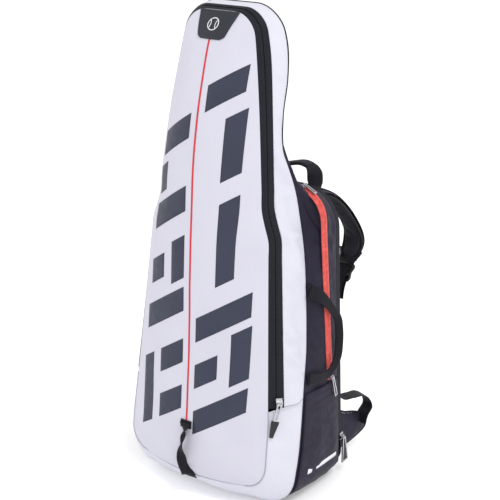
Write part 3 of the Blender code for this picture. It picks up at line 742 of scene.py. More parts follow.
def front_print(name, outlines, material, slot, lift=0.35):
    """Thin printed shapes that follow the domed front."""
    points = []
    uvs = []
    faces = []
    for outline in outlines:
        flat, cut = cut_sheet(outline)
        start = len(points)
        points += [panel_point(p.x, p.z, lift) for p in flat]
        uvs += [(p.x * MM, p.z * MM) for p in flat]
        faces += [[start + k for k in face] for face in cut]
    piece = build(name, points, faces, uvs)
    face_front(piece)
    bend_at_fold(thicken(piece, 0.3), material, slot)


SLANT = 0.62


def slab(x0, x1, low, high):
    """A block with upright sides and slanted ends; heights are taken on the middle line."""
    return [(x, z + SLANT * x) for x, z in ((x0, low), (x1, low), (x1, high), (x0, high))]


def front_graphics():
    """Generic slanted blocks on both sides of the middle line, laid like bricks."""
    left = [(-103, -78, 158, 270), (-60, -12, 158, 196), (-60, -12, 232, 270), (-99, -12, 314, 352),
            (-39, -12, 366, 432), (-93, -58, 384, 422), (-88, -12, 468, 506), (-85, -60, 520, 562),
            (-79, -12, 576, 612)]
    right = [(12, 98, 106, 144), (70, 98, 158, 240), (12, 50, 180, 218), (12, 96, 254, 292),
             (44, 71, 326, 450), (44, 70, 482, 574), (12, 64, 600, 638)]
    front_print("front_graphics", [slab(*shape) for shape in left + right], PRINT, "white_fabric")
    line = [(-1.5, 126), (1.5, 126), (1.5, 712), (-1.5, 712)]
    front_print("middle_line", [line], RED_LINE, "coral_zip", 0.45)


PATCH_OUT = Vector((0, -0.9, 0.35)).normalized()
BALL_LIFT = 2.55


def nose_patch():
    """Moulded trapezoid badge with a raised rim."""
    rows = []
    up, across = 18, 28
    for i in range(up + 1):
        share = i / up
        z = 708 + 38.5 * share
        half = 23.5 + 12.5 * share
        if share < 0.14:
            half -= 6 * (1 - share / 0.14) ** 2
        row = []
        for j in range(across + 1):
            s = 2 * j / across - 1
            rim = max(abs(s), abs(2 * share - 1))
            lift = 1.9 + 0.7 * smoothstep(0.80, 0.90, rim) - 1.6 * smoothstep(0.95, 1.0, rim)
            row.append(panel_point(half * s, z) + PATCH_OUT * lift)
        rows.append(row)
    dress(thicken(grid("nose_badge", rows), 1.2), PATCH, "flap", "patch", "nose_patch")


def badge_ball():
    """A plain ball on the badge: its outline, and two seams that end at the outline."""
    arcs = ((0, 1, 0, BALL_RADIUS, 1.5), (-0.17, 0.17, -15.5, 12.0, 1.2),
            (0.33, 0.67, 15.5, 12.0, 1.2))
    turns = 28
    points = []
    faces = []
    for start, stop, x_centre, radius, width in arcs:
        for k in range(turns):
            a, b = [2 * math.pi * (start + (stop - start) * n / turns) for n in (k, k + 1)]
            inner = radius - width
            ring = [(x_centre + math.cos(t) * r, BALL_Z + math.sin(t) * r * BALL_SQUASH)
                    for t, r in ((a, radius), (b, radius), (b, inner), (a, inner))]
            reach = max(x ** 2 + ((z - BALL_Z) / BALL_SQUASH) ** 2 for x, z in ring)
            if reach <= (BALL_RADIUS + 0.1) ** 2:
                faces.append(tuple(range(len(points), len(points) + 4)))
                points += [panel_point(x, z) + PATCH_OUT * BALL_LIFT for x, z in ring]
    glyph = build("badge_ball", points, faces)
    face_front(glyph)
    dress(thicken(glyph, 0.3), GLYPH, "flap", "patch")


def above(loop, z_end):
    """The part of a loop above z_end, from the right side over the top to the left."""
    return [p for p in loop if p.z >= z_end - 0.01]


def tape_relief(share):
    """A zip tape's cross-section: flat, with a raised fold beside the chain."""
    from_middle = abs(share - 0.5)
    fold = math.exp(-((from_middle - 0.19) / 0.10) ** 2) * 0.9
    groove = -1.1 * math.exp(-(from_middle / 0.05) ** 2)
    return 0.5 + fold + groove


def zip_side(first, last, near, far, count):
    """Rows of one zip tape, from the share near to the share far of the way between two lines."""
    shares = [near + (far - near) * i / (count - 1) for i in range(count)]
    rows = [between(first, last, share) for share in shares]
    return shaped(rows, lambda p, i: tape_relief(shares[i]))


def zip_teeth(name, line, beside, body, odd=0, width=2.6, pitch=1.9):
    """One side's teeth along a line, towards the line beside it; odd shifts them half a pitch."""
    blocks = []
    for (point, tangent), (other, _) in zip(stepped(line, pitch), stepped(beside, pitch)):
        side = square_to(other - point, tangent)
        out = side.cross(tangent).normalized()
        if out.dot(Vector((point.x, point.y - 40, 0))) < 0:
            out = -out
        centre = point + side * width * 0.30 + tangent * pitch * 0.5 * odd
        blocks.append((centre + out * 0.35, tangent * pitch * 0.30, side * width / 2, out * 0.55))
    return dress(scattered_blocks(name, blocks), COIL, body, "zip_tape")


def racket_zip():
    edge = above(PANEL_EDGE.loop(0.4), FOLD_Z)
    outer = above(BAND_EDGE.loop(), FOLD_Z)
    flap = zip_side(edge, outer, 0.02, 0.495, 12)
    bag = zip_side(edge, outer, 0.505, 0.99, 12)
    for name, rows, body, node in (("flap_zip_tape_woven", flap, "flap", "flap_zip_tape"),
                                   ("gusset_zip_tape_woven", bag, "bag", "gusset_zip_tape")):
        dress(thicken(grid(name, rows), 1.0), TAPE, body, "zip_tape", node)
    zip_teeth("flap_zip_teeth", flap[-2], flap[-4], "flap")
    zip_teeth("gusset_zip_teeth", bag[1], bag[3], "bag", odd=1)
    out = outward_from_middle
    for name, first, second, body in (("flap_zip_stitches", flap[1], flap[3], "flap"),
                                      ("gusset_zip_stitches", bag[-2], bag[-4], "bag")):
        stitches(name, [(first, out), (second, out)], DARK_THREAD, body, "zip_tape")


def outward_from_middle(point):
    """Roughly away from the bag's inside, turning up near its top and down near its floor."""
    high, low = 700, 40
    out = Vector((point.x * 0.9, point.y - 30, 0))
    if point.z > high:
        out += UP * (point.z - high) * 1.4
    if point.z < low:
        out -= UP * (low - point.z) * 3
    return out.normalized()


def gusset_height(count):
    """Cloth relief of the white side wall, which has this many steps from front to back."""
    def height(p, i):
        share = i / count
        hold = math.sin(math.pi * share)
        side = smoothstep(30, 90, abs(p.x))
        broad = folds(p, 85, seed=2.0) * 2.0
        waist = (math.exp(-((p.z - 450) / 75) ** 2) + 0.8 * math.exp(-((p.z - 250) / 60) ** 2)
                 + 0.35)
        diagonal = ridged(slanted_folds(p, 24, math.radians(-38), 4.0)) * 4.8 * waist
        short = slanted_folds(p, 12, math.radians(-15), 8.0) * 1.3 * waist
        pull = ridged(folds(p, 20, (1, 2.2, 0.8), 12.0)) * 0.5 * (1 - share)
        return (broad + (diagonal + short) * side + pull) * hold
    return height


def racket_gusset():
    edge = PANEL_EDGE.loop(-0.2)
    band = BAND_EDGE.loop(0.2)
    seam = RACKET_SEAM.loop()
    bottom = [panel_point(p.x, PANEL_BOTTOM) if p.z < PANEL_BOTTOM + 1.5 else p for p in edge]
    front = [b if b.z >= FOLD_Z - 0.01 else c for b, c in zip(band, bottom)]
    middle = []
    for a, b in zip(front, seam):
        m = a.lerp(b, 0.5) + Vector((3.0 * side_share(a.x), 0, 0))
        if a.z < FOLD_Z:
            low = 1 - a.z / FOLD_Z
            sag = 1 - min(abs(a.x) / 140, 1) ** 4
            m += Vector((0, -5 * low, -(3 + 14 * sag) * low ** 2))
        middle.append(m)
    count = 26
    rows = [arched(front, middle, seam, i / count) for i in range(count + 1)]
    rows = shaped(rows, gusset_height(count), around=True)
    piece = thicken(grid("racket_gusset_fabric", rows, around=True), 1.4)
    dress(piece, WHITE, "bag", "white_fabric", "racket_gusset")
    line_inside(piece)
    gusset_seams(rows)


def gusset_seams(rows):
    """Stitches on the white side wall, and thin grey tubes along its seams that paint each seam's
    shadow line.
    """
    out = outward_from_middle
    rear = rows[-2]
    stitches("gusset_seam_stitches", [(rear[:len(rear) // 2], out), (rear[len(rear) // 2:], out)],
             WHITE_THREAD, "bag", "white_fabric")
    low_edge = [p for p in rows[1] if p.z < FOLD_Z - 6]
    split = next(k for k in range(1, len(low_edge)) if (low_edge[k] - low_edge[k - 1]).length > 40)
    ends = low_edge[split:] + low_edge[:split]
    stitches("panel_seam_stitches", [(ends, out)], WHITE_THREAD, "bag", "white_fabric")
    # Painted seam shadow: a thin grey tube along the seam under and beside the lower front panel.
    dress(tube("panel_seam_shadow_line", edge_seam_path(), 0.8), SEAM_SHADOW_GREY, "bag", "white_fabric")
    for side, sign in SIDES:
        place = next(k for k, p in enumerate(rows[0]) if p.x * sign > 0 and abs(p.z - FOLD_Z) < 0.6)
        across = [row[place] + out(row[place]) * 0.1 for row in rows[:-1]]
        # Painted seam shadow: a thin grey tube across the white side wall at the height of the
        # fold.
        dress(tube("gusset_cross_seam_shadow_" + side, across, 0.5), SEAM_SHADOW_GREY, "bag", "white_fabric")


def edge_seam_path():
    """The seam under and beside the lower front panel, from left to right."""
    loop = PANEL_EDGE.loop(-0.3)
    right = [p for p in loop[:len(loop) // 2] if p.z < FOLD_Z - 2]
    path = [Vector((-p.x, p.y, p.z)) for p in reversed(right[1:])] + right
    return [panel_point(p.x, PANEL_BOTTOM) + Vector((0, 0.4, -0.5)) if p.z < PANEL_BOTTOM + 1 else p
            for p in path]


def grown_forwards(piece, thickness):
    """Thickens a sheet on the back of a compartment towards the front of the bag."""
    middle = piece.data.polygons[len(piece.data.polygons) // 2]
    return thicken(piece, thickness, 1.0 if middle.normal.y < 0 else -1.0)


def racket_back_panel():
    """Black panel behind the rackets, padded where it shows on the neck."""
    rows = []
    steps = 94
    for i in range(steps + 1):
        z = 12 + (NECK_TOP - 13) * i / steps
        reach = RACKET_SEAM.reach(min(z, NECK_TOP - 1)) - 0.8
        puff = (smoothstep(BODY_TOP - 2, BODY_TOP + 14, z)
                * smoothstep(NECK_TOP + 1, NECK_TOP - 10, z))
        row = []
        for s in spread(48):
            spot = Vector((reach * s, 0, z))
            broad = folds(spot, 60, (1, 1, 1.4), 6.0) * 1.1
            fine = folds(spot, 18, (1, 1, 2), 7.0) * 0.3
            swell = (1 - abs(s) ** 5) ** 0.5 * 6.5 * puff
            swell += (broad + fine) * puff * (1 - abs(s) ** 4)
            row.append(Vector((reach * s, seam_y(z) + 0.3 + swell, z)))
        rows.append(row)
    piece = grown_forwards(grid("racket_back_panel_fabric", rows), 2.0)
    dress(piece, BLACK_CLOTH, "bag", "black_fabric", "racket_back_panel")
    seam = [p + Vector((0, 0.8, 0)) for p in RACKET_SEAM.loop() if p.z > BODY_TOP - 50]
    dress(tube("neck_seam_piping", seam, 1.4), BINDING, "bag", "black_fabric")


def front_loop():
    """Webbing loop, twisted over twice between its sewn ends."""
    path = smooth_path([(0, -109.4, 131), (0, -111.6, 121), (1, -118, 104), (-1, -119.5, 84),
                        (1, -117.5, 64), (3, -110.5, 49), (5, -101.5, 38)], 9)
    across = Vector((1, 0, 0))

    def side_at(share, tangent):
        twist = (math.radians(150) * math.sin(2 * math.pi * share) * smoothstep(0.02, 0.3, share)
                 * smoothstep(1.0, 0.75, share))
        return Matrix.Rotation(twist * 0.55, 3, tangent) @ across

    def width(share):
        return 20 - 5.5 * math.sin(math.pi * share) ** 2 + 4 * smoothstep(0.85, 1.0, share)

    piece = webbing("front_loop_webbing", path, side_at, width, 2.0)
    dress(piece, WEB, "bag", "black_webbing", "front_loop")
    held = [Vector((0, panel_point(0, z).y - 1.2, z)) for z in (122, 125, 128, 131, 134)]
    dress(webbing("front_loop_tab", held, across, 21, 2.6), WEB, "bag", "black_webbing")


front_panel()
front_graphics()
nose_patch()
badge_ball()
racket_zip()
racket_gusset()
racket_back_panel()
front_loop()


# ================================================================ main compartment
def body_wall(name, front, middle, back, count, relief, *replaced):
    """Dark cloth wall on the arch through three lines; relief holds at both edges and the floor."""
    def height(p, i):
        hold = smoothstep(0.04, 0.36, i / count) * smoothstep(0.96, 0.64, i / count)
        return relief(p) * hold * smoothstep(0.5, 26, p.z)

    rows = [arched(front, middle, back, i / count) for i in range(count + 1)]
    piece = thicken(grid(name, shaped(rows, height, around=True), around=True), 1.4)
    dress(piece, CHARCOAL, "bag", "dark_fabric", *replaced)


def dark_relief(p):
    """Wrinkles of the main compartment, strongest near its top."""
    high = smoothstep(250, 480, p.z)
    broad = folds(p, 70, seed=21.0) * 1.9
    drag = ridged(slanted_folds(p, 19, math.radians(118), 23.0)) * (0.8 + 1.3 * high)
    short = ridged(slanted_folds(p, 10, math.radians(160), 29.0)) * 0.5
    return broad + drag + short


def sunk(row):
    """Lowers the upper part of a row and draws it inwards, where the cloth is slack."""
    for p in row:
        share = smoothstep(SINK_LOW, SINK_HIGH, p.z)
        p.x -= SINK_IN * share * side_share(p.x)
        p.z -= SINK_DOWN * share
    return row


def gussets():
    front = [p + Vector((0, 0.4, 0)) for p in BODY_FRONT.loop(0.2)]
    coral = CORAL_LINE.loop()
    back = BACK_LINE.loop()
    middle = sunk([p + Vector((2.0 * side_share(p.x), 0, 0)) for p in between(front, coral, 0.55)])
    body_wall("front_gusset_fabric", front, middle, coral, 18, dark_relief, "front_gusset")
    body_wall("rear_gusset_fabric", coral, between(coral, back, 0.5), back, 14,
              lambda p: dark_relief(p) * 0.8, "rear_gusset")
    seam = [p for p in coral if p.z < CORAL_LOW_Z - 4 and p.x > 0]
    dress(tube("coral_seam_piping", seam, 0.8), DARK_THREAD, "bag", "dark_fabric")


def coral_row(line, across, bulge, sign):
    """One row of a coral zip: a line moved across the tape and raised outwards."""
    row = []
    for i, p in enumerate(line):
        tangent = tangent_at(line, i)
        out = Vector((tangent.z, 0, -tangent.x)).normalized()
        point = p + Vector((0, across, 0)) + out * (bulge + folds(p, 30, seed=3.0) * 0.25)
        row.append(Vector((point.x * sign, point.y, point.z)))
    return row


def coral_zips():
    line = [p for p in CORAL_LINE.side() if p.z >= CORAL_LOW_Z - 0.01 and p.x > CORAL_END_X]
    for side, sign in SIDES:
        rows = []
        for k in range(-8, 9):
            across = k / 8 * 8.2
            ridge = math.exp(-((abs(across) - 3.2) / 1.9) ** 2)
            bulge = 1.1 + 1.0 * ridge - 1.3 * math.exp(-(across / 0.7) ** 2)
            rows.append(coral_row(line, across, 0.2 if abs(k) == 8 else bulge, sign))
        piece = thicken(grid("coral_zip_tape_" + side, rows), 0.9)
        dress(piece, CORAL, "bag", "coral_zip", "coral_zip_" + side)
        edges = []
        for k, away in ((0, -1.2), (-1, 1.2)):
            edges.append(([p + Vector((sign * 0.9, away, 0)) for p in rows[k]],
                          lambda p, s=sign: Vector((s, 0, smoothstep(430, 490, p.z)))))
        stitches("coral_zip_stitches_" + side, edges, DARK_THREAD, "bag", "dark_fabric", 3.0, 2.0)
        low = [Vector((sign * 147.0, coral_y(z), z)) for z in
               (CORAL_LOW_Z - 3.5, CORAL_LOW_Z + 1, CORAL_LOW_Z + 5)]
        end = webbing("coral_zip_end_" + side, low, Vector((0, 1, 0)), 17, 2.2)
        dress(end, BINDING, "bag", "dark_fabric")


def side_point(y_share, z, out, sign=1.0):
    """A point on the bag's side between its front seam (0), coral line (1) and back (2)."""
    stations = [Vector((line.reach(z), depth(z), z)) for line, depth in
                ((BODY_FRONT, seam_y), (CORAL_LINE, coral_y), (BACK_LINE, back_y))]
    i = 0 if y_share < 1 else 1
    point = stations[i].lerp(stations[i + 1], y_share - i)
    if i == 0:
        point.x += 2.0 * min(y_share / 0.55, (1 - y_share) / 0.45)
    return Vector(((point.x + out) * sign, point.y, point.z))


POCKET_ACROSS = 44
POCKET_UP = 28


def pocket_point(i, j, sign):
    """A point on the pocket's cloth, i steps from front to back and j steps up."""
    share = 0.05 + 1.85 * i / POCKET_ACROSS
    hem = 179 - 3 * share
    z = 24 + (hem - 24) * j / POCKET_UP
    across = math.sin(math.pi * i / POCKET_ACROSS) ** 0.5
    up = math.sin(math.pi * min(j / POCKET_UP, 0.999))
    spot = side_point(share, z, 0, sign)
    creases = ridged(slanted_folds(spot, 15, math.radians(20), 33)) * 0.5
    puff = 1.8 + (1.6 + folds(spot, 45, seed=31) * 1.2 + creases) * across * up
    puff += 0.8 * smoothstep(25, 28, j) * across
    return side_point(share, z, puff, sign)


def side_pockets():
    for side, sign in SIDES:
        rows = [[pocket_point(i, j, sign) for i in range(POCKET_ACROSS + 1)]
                for j in range(POCKET_UP + 1)]
        piece = thicken(grid("side_pocket_fabric_" + side, rows), 1.2, 0.0)
        dress(piece, CHARCOAL, "bag", "dark_fabric", "side_pocket_" + side)
        columns = [[row[k] for row in rows] for k in (1, -2)]
        lift = Vector((sign * 0.8, 0, 0))
        lines = [([p + lift for p in line], lambda p, s=sign: Vector((s, 0, 0)))
                 for line in [rows[-3], rows[-5]] + columns]
        stitches("pocket_stitches_" + side, lines, DARK_THREAD, "bag", "dark_fabric")
        side_mark(side, sign)


def side_mark(side, sign):
    """A plain reflective block and bar low on the side."""
    points = []
    faces = []
    count = 30
    for first, last, thick in ((0, 3, 8.5), (6, count, 7.0)):
        for i in range(first, last + 1):
            if i > first:
                n = len(points)
                faces.append((n - 2, n - 1, n + 1, n))
            share = 0.28 + 1.10 * i / count
            z = 53 - 6 * i / count
            points += [side_point(share, z + edge * thick, 3.3, sign) for edge in (-0.5, 0.5)]
    piece = thicken(build("side_mark_" + side, points, faces), 0.4, 0.0)
    dress(piece, GLYPH, "bag", "white_fabric")


def mirrored_path(points, sign, steps):
    return smooth_path([(x * sign, y, z) for x, y, z in points], steps)


SIDE_HANDLE_PATH = [(136.5, 21, 335.5), (148.4, 36, 325.5), (155.3, 53, 304.5), (157.3, 68, 285),
                    (157, 74, 267), (157, 75.5, 243), (157, 71, 217), (156, 52, 199),
                    (154, 28, 197.5), (149.5, 6, 201)]


def side_handles():
    for side, sign in SIDES:
        def side_at(share, tangent, s=sign):
            lean = 0.9 * math.sin(math.pi * share) ** 3
            return tangent.cross(Vector((1, 0, 0))) + Vector((-s * lean, 0, 0))

        def width(share):
            return 13 + 10 * smoothstep(0.26, 0.0, share) + 4.5 * smoothstep(0.75, 1.0, share)

        piece = webbing("side_handle_webbing_" + side, mirrored_path(SIDE_HANDLE_PATH, sign, 10),
                        side_at, width, lambda s: 2.0 + 3.0 * math.sin(math.pi * s) ** 4)
        dress(piece, WEB, "side_handle_" + side, "black_webbing", "side_handle_" + side)
        for place, z, y, x, wide in (("high", 335.5, 17, 134.5, 23), ("low", 201, 2, 147.5, 17.5)):
            held = [Vector((sign * (x + 0.14 * k), y + 1.5 + k, z)) for k in (0, 4, 8, 12)]
            tab = webbing(f"side_handle_tab_{side}_{place}", held, UP, wide, 2.4)
            dress(tab, WEB, "bag", "black_webbing")


gussets()
coral_zips()
side_pockets()
side_handles()


# ================================================================ back
def middle_part(points, count):
    start = (len(points) - count) // 2
    return points[start:start + count]


def back_zip():
    front = above(BACK_LINE.loop(), BACK_ZIP_LOW)
    rear = above(DOOR_LINE.loop(), BACK_ZIP_LOW)
    count = min(len(front), len(rear))
    front = middle_part(front, count)
    rear = middle_part(rear, count)
    body = zip_side(front, rear, 0.0, 0.49, 10)
    door = zip_side(front, rear, 0.51, 1.0, 10)
    for name, rows, rider, node in (("body_zip_tape_woven", body, "bag", "body_zip_tape"),
                                    ("door_zip_tape_woven", door, "door", "door_zip_tape")):
        dress(thicken(grid(name, rows), 1.0), TAPE, rider, "zip_tape", node)
    zip_teeth("body_zip_teeth", body[-2], body[-4], "bag", width=2.2)
    zip_teeth("door_zip_teeth", door[1], door[3], "door", odd=1, width=2.2)


def back_panel():
    rows = [[Vector((DOOR_LINE.reach(z) * s, back_depth(z) - 4 * abs(s) ** 12, z))
             for s in spread(48)] for z in DOOR_LINE.heights()]
    piece = grown_forwards(grid("back_panel_fabric", rows), 4.0)
    dress(piece, BLACK_CLOTH, "door", "black_fabric", "back_panel")
    edge = [p + Vector((0, 0.5, 0)) for p in DOOR_LINE.loop(1.0)]
    dress(tube("back_panel_piping", edge, 2.0, closed=True), BINDING, "door", "black_fabric")


CLOTH_FRAMES = 20
CLOTH = {"quality": 4, "mass": 0.15, "use_pressure": True, "tension_stiffness": 12,
         "compression_stiffness": 12, "bending_stiffness": 0.4}


def soften(piece, voxel, pressure, cap):
    """Swells a closed shape as stuffed cloth, no further than cap, and keeps the result."""
    remesh = piece.modifiers.new("Remesh", "REMESH")
    remesh.mode = "VOXEL"
    remesh.voxel_size = voxel * MM
    graph = bpy.context.evaluated_depsgraph_get()
    mesh = bpy.data.meshes.new_from_object(piece.evaluated_get(graph))
    piece.modifiers.clear()
    piece.data = mesh
    rest = [v.co.copy() for v in mesh.vertices]
    cloth = piece.modifiers.new("Cloth", "CLOTH")
    for key, value in CLOTH.items():
        setattr(cloth.settings, key, value)
    cloth.settings.uniform_pressure_force = pressure
    cloth.settings.effector_weights.gravity = 0
    scene = bpy.context.scene
    for number in range(1, CLOTH_FRAMES + 1):
        scene.frame_set(number)
    graph = bpy.context.evaluated_depsgraph_get()
    result = piece.evaluated_get(graph)
    moved = [v.co.copy() for v in result.to_mesh().vertices]
    result.to_mesh_clear()
    piece.modifiers.clear()
    for vertex, start, end in zip(mesh.vertices, rest, moved):
        shift = end - start
        if shift.length > cap * MM:
            shift = shift.normalized() * cap * MM
        vertex.co = start + shift
    scene.frame_set(1)
    mesh.shade_smooth()
    smooth = piece.modifiers.new("Smooth", "SUBSURF")
    smooth.levels = 1
    smooth.render_levels = 1
    return piece


def pad_block(name, centre, half_width, low, high, thick):
    """A closed crowned block on the back panel, with rounded corners."""
    rows = []
    for turn in spread(16):
        z = (low + high) / 2 + (high - low) / 2 * turn
        end = math.sqrt(max(1 - abs(turn) ** 8, 0.0004))
        half = half_width * (0.90 + 0.10 * end)
        base = back_depth(z) + 1.4
        rows.append([Vector((centre + half * a, base + thick * 0.5 * (1 + b * end), z))
                     for a, b in oval(24, 0.4, 0.6)])
    return grid(name, rows, around=True, caps=True)


def channel(piece, places, depth, width, across_x=False):
    """Presses sewn channels into a pad's outer face at the given heights or sides."""
    for vertex in piece.data.vertices:
        where = vertex.co.x if across_x else vertex.co.z
        press = sum(math.exp(-((where / MM - place) / width) ** 2) for place in places)
        vertex.co.y -= press * depth * MM * smoothstep(0.112, 0.119, vertex.co.y)


def back_pads():
    for side, sign in SIDES:
        block = pad_block("back_pad_mesh_" + side, sign * 50, 34, 130, 418, 8.5)
        pad = soften(block, 4.5, 3.0, 5.0)
        channel(pad, (203, 274, 345), 4.0, 3.2)
        dress(pad, MESH, "door", "foam_mesh", "back_pad_" + side)
    pad = soften(pad_block("lumbar_pad_mesh", 0, 93, 42, 116, 10.0), 4.5, 3.0, 5.0)
    channel(pad, (-48, 0, 48), 4.0, 3.2, across_x=True)
    dress(pad, MESH, "door", "foam_mesh", "lumbar_pad")


STRAP_PATH = [(62, 118.5, 452), (68, 137, 451), (77, 163, 437), (85, 190, 410),
              (91, 209, 380), (92, 213, 356), (89, 203, 330)]
WEB_PATH = [(88.5, 192, 318), (87.5, 182, 306), (87, 171, 290), (88, 157, 264), (92, 140, 230),
            (101, 132, 188), (112, 130, 146), (122, 134, 120), (129, 154, 115.5), (132, 178, 111.5),
            (134, 195, 101), (135, 203, 84), (134.5, 190, 72), (133, 184, 58)]


LOCK_TOP = (88.5, 196.5, 322.5)
LOCK_TURN = 12


def strap_side(sign):
    def side_at(share, tangent):
        turn = math.radians(6 + 20 * math.sin(math.pi * min(share, 0.98) ** 1.3))
        return Vector((math.cos(turn), -math.sin(turn) * sign, 0))
    return side_at


def strap_frame(path, i, sign):
    """Side and outward direction of the shoulder strap at one place."""
    tangent = tangent_at(path, i)
    side = square_to(strap_side(sign)(i / (len(path) - 1), tangent), tangent)
    out = side.cross(tangent) * -sign
    return side, -out if out.y < 0 else out


def strap_half(share):
    taper = max(share - 0.78, 0.0) / 0.22
    return (60 - 13 * smoothstep(0.1, 0.6, share) - 20 * taper ** 1.5) / 2


def shoulder_strap(side, sign):
    path = mirrored_path(STRAP_PATH, sign, 6)
    body = "shoulder_strap_" + side
    places = []
    for i, point in enumerate(path):
        places.append((point, *strap_frame(path, i, sign), i / (len(path) - 1)))
    rows = []
    for p, across, out, share in places:
        end = min(1.0, 0.55 + 9 * (1 - share))
        thick = (5.0 + 0.8 * math.sin(math.pi * share)) * end
        rows.append([p + across * (strap_half(share) - 1.5) * a + out * thick * b
                     for a, b in oval(28, 0.5, 0.7)])
    pad = soften(grid("shoulder_strap_pad_" + side, rows, around=True, caps=True), 4.0, 2.5, 3.0)
    dress(pad, MESH, "shoulder_strap_" + side, "foam_mesh", "shoulder_strap_" + side)
    strap_trim(side, sign, body, places)


def strap_trim(side, sign, body, places):
    """Cover, bindings, end tab and webbing on a strap, from (point, across, out, share) places."""
    def height(share, w):
        return 6.6 + 2.4 * math.sin(math.pi * share) - 2.2 * abs(w) ** 4

    cover = [[p + a * strap_half(s) * w * 0.93 + o * height(s, w)
              for w in (-1, -0.9, -0.6, -0.3, 0, 0.3, 0.6, 0.9, 1)] for p, a, o, s in places[:-1]]
    outer = thicken(grid("shoulder_strap_cover_" + side, cover), 0.8, 0.0)
    dress(outer, CHARCOAL, body, "black_fabric")
    for k, edge in enumerate((-1, 1)):
        border = [p + a * strap_half(s) * edge * 0.985 for p, a, o, s in places]
        dress(tube(f"shoulder_strap_binding_{side}_{k}", border, 2.3, sides=10),
              BINDING, body, "black_fabric")
    neck = mirrored_path([(90.5, 210, 344), (89.6, 205, 333), (88.8, 199.5, 325.5),
                          (88.5, 197, 321.5)], sign, 4)
    tab = webbing("shoulder_strap_tab_" + side, neck, strap_side(sign), lambda s: 48 - 13 * s, 5.0)
    dress(tab, BLACK_CLOTH, body, "black_webbing")
    middle = [p + o * (8.0 + 2.4 * math.sin(math.pi * s)) for p, a, o, s in places[1:]]
    strip = webbing("shoulder_strap_webbing_" + side, middle, strap_side(sign), 25, 1.8)
    dress(strip, WEB, body, "black_webbing")


def lower_web(side, sign):
    """The webbing that runs from the ladder lock to the wing."""
    path = mirrored_path(WEB_PATH, sign, 9)
    piece = webbing("lower_webbing_" + side, path, strap_side(sign), 24.5, 1.8)
    paint_with(piece, WEB)
    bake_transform(piece)
    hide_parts("strap_webbing_" + side)


def ladder_lock(side, sign):
    """Frame and bars of the lock, the loose tail and the loop that holds it."""
    body = "strap_buckle_" + side
    top = Vector((sign * LOCK_TOP[0], *LOCK_TOP[1:]))
    down = Vector((-sign * 0.03, -0.50, -0.87)).normalized()
    turn = math.radians(LOCK_TURN)
    across = square_to(Vector((math.cos(turn), -math.sin(turn) * sign, 0)), down)
    out = across.cross(down)
    if out.y < 0:
        out = -out
    ring = [(-17.5, 0), (17.5, 0), (16.5, 12), (15, 26), (-15, 26), (-16.5, 12)]
    path = smooth_path([top + across * a + down * b for a, b in ring + ring[:1]], 5)[:-1]
    frame_ring = tube("ladder_lock_frame_" + side, path, 2.4, closed=True)
    dress(frame_ring, PLASTIC, "strap_buckle_" + side, "black_plastic", "strap_buckle_" + side)
    for k, (place, rise) in enumerate(((9, 1.5), (16.5, -0.5))):
        line = [top + across * a + down * place + out * rise for a in (-15, -8, 0, 8, 15)]
        dress(tube(f"ladder_lock_bar_{side}_{k}", line, 2.1), PLASTIC, body, "black_plastic")
    tail = smooth_path([top + down * b + out * c for b, c in
                        ((7, 1.5), (13, 3.2), (22, 3.6), (34, 3.0), (47, 5.5), (56, 9))], 5)
    dress(webbing("strap_tail_" + side, tail, across, 24.5, 1.9), WEB, body, "black_webbing")
    held = [top + down * b for b in (-1, 4, 9, 13)]
    dress(webbing("strap_loop_" + side, held, across, 34, 2.4), WEB, body, "black_webbing")


def wing(side, sign):
    """Padded triangle low on the back that holds the end of the webbing."""
    outline = [(126, 114, 28), (129, 150, 28), (132, 190, 35), (133, 207, 43), (133, 206, 57),
               (131, 184, 74), (129, 150, 86), (126, 114, 97)]
    ring = mirrored_path(outline + outline[:1], sign, 4)[:-1]
    centre = sum(ring, Vector()) / len(ring)
    out = Vector((sign, 0, 0))
    section = ((0.25, 5.0), (0.6, 4.6), (0.85, 3.6), (0.96, 2.2), (1.0, 0.0), (0.96, -2.2),
               (0.85, -3.6), (0.6, -4.6), (0.25, -5.0))
    rows = [[centre.lerp(p, share) + out * (rise - 4.5) for p in ring] for share, rise in section]
    pad = soften(grid("strap_wing_pad_" + side, rows, around=True, caps=True), 3.5, 2.0, 2.5)
    dress(pad, CHARCOAL, "door", "foam_mesh", "strap_wing_" + side)
    piping = tube("strap_wing_binding_" + side, [p - out * 4.5 for p in ring], 2.0, closed=True)
    dress(piping, BINDING, "door", "black_fabric")


def top_handle():
    half = [Vector(p) for p in ((91, 104, 461), (90, 105, 471), (88, 104.5, 483), (86.5, 104, 494),
                                (79, 104, 504), (62, 104, 506.5), (30, 104, 499), (0, 104, 495))]
    whole = half + [Vector((-p.x, p.y, p.z)) for p in reversed(half[:-1])]

    def width(share):
        return 18 + 7 * smoothstep(0.02, 0.16, min(share, 1 - share))

    def turned(share, tangent):
        near = min(share, 1 - share)
        turn = math.radians(42) * smoothstep(0.03, 0.12, near) * smoothstep(0.32, 0.17, near)
        return Vector((math.sin(turn) * (1 if share < 0.5 else -1), math.cos(turn), 0))

    piece = webbing("top_handle_webbing", smooth_path(whole, 8), turned, width, 2.8)
    paint_with(piece, WEB)
    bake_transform(piece)
    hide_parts("top_handle")
    grip = [p + Vector((0, 0, 0.3)) for p in smooth_path(whole[4:-4], 6)]
    wrap = webbing("top_handle_grip", grip, Vector((0, 1, 0)), 23.5, 6.0)
    dress(wrap, BLACK_CLOTH, "top_handle", "black_webbing")


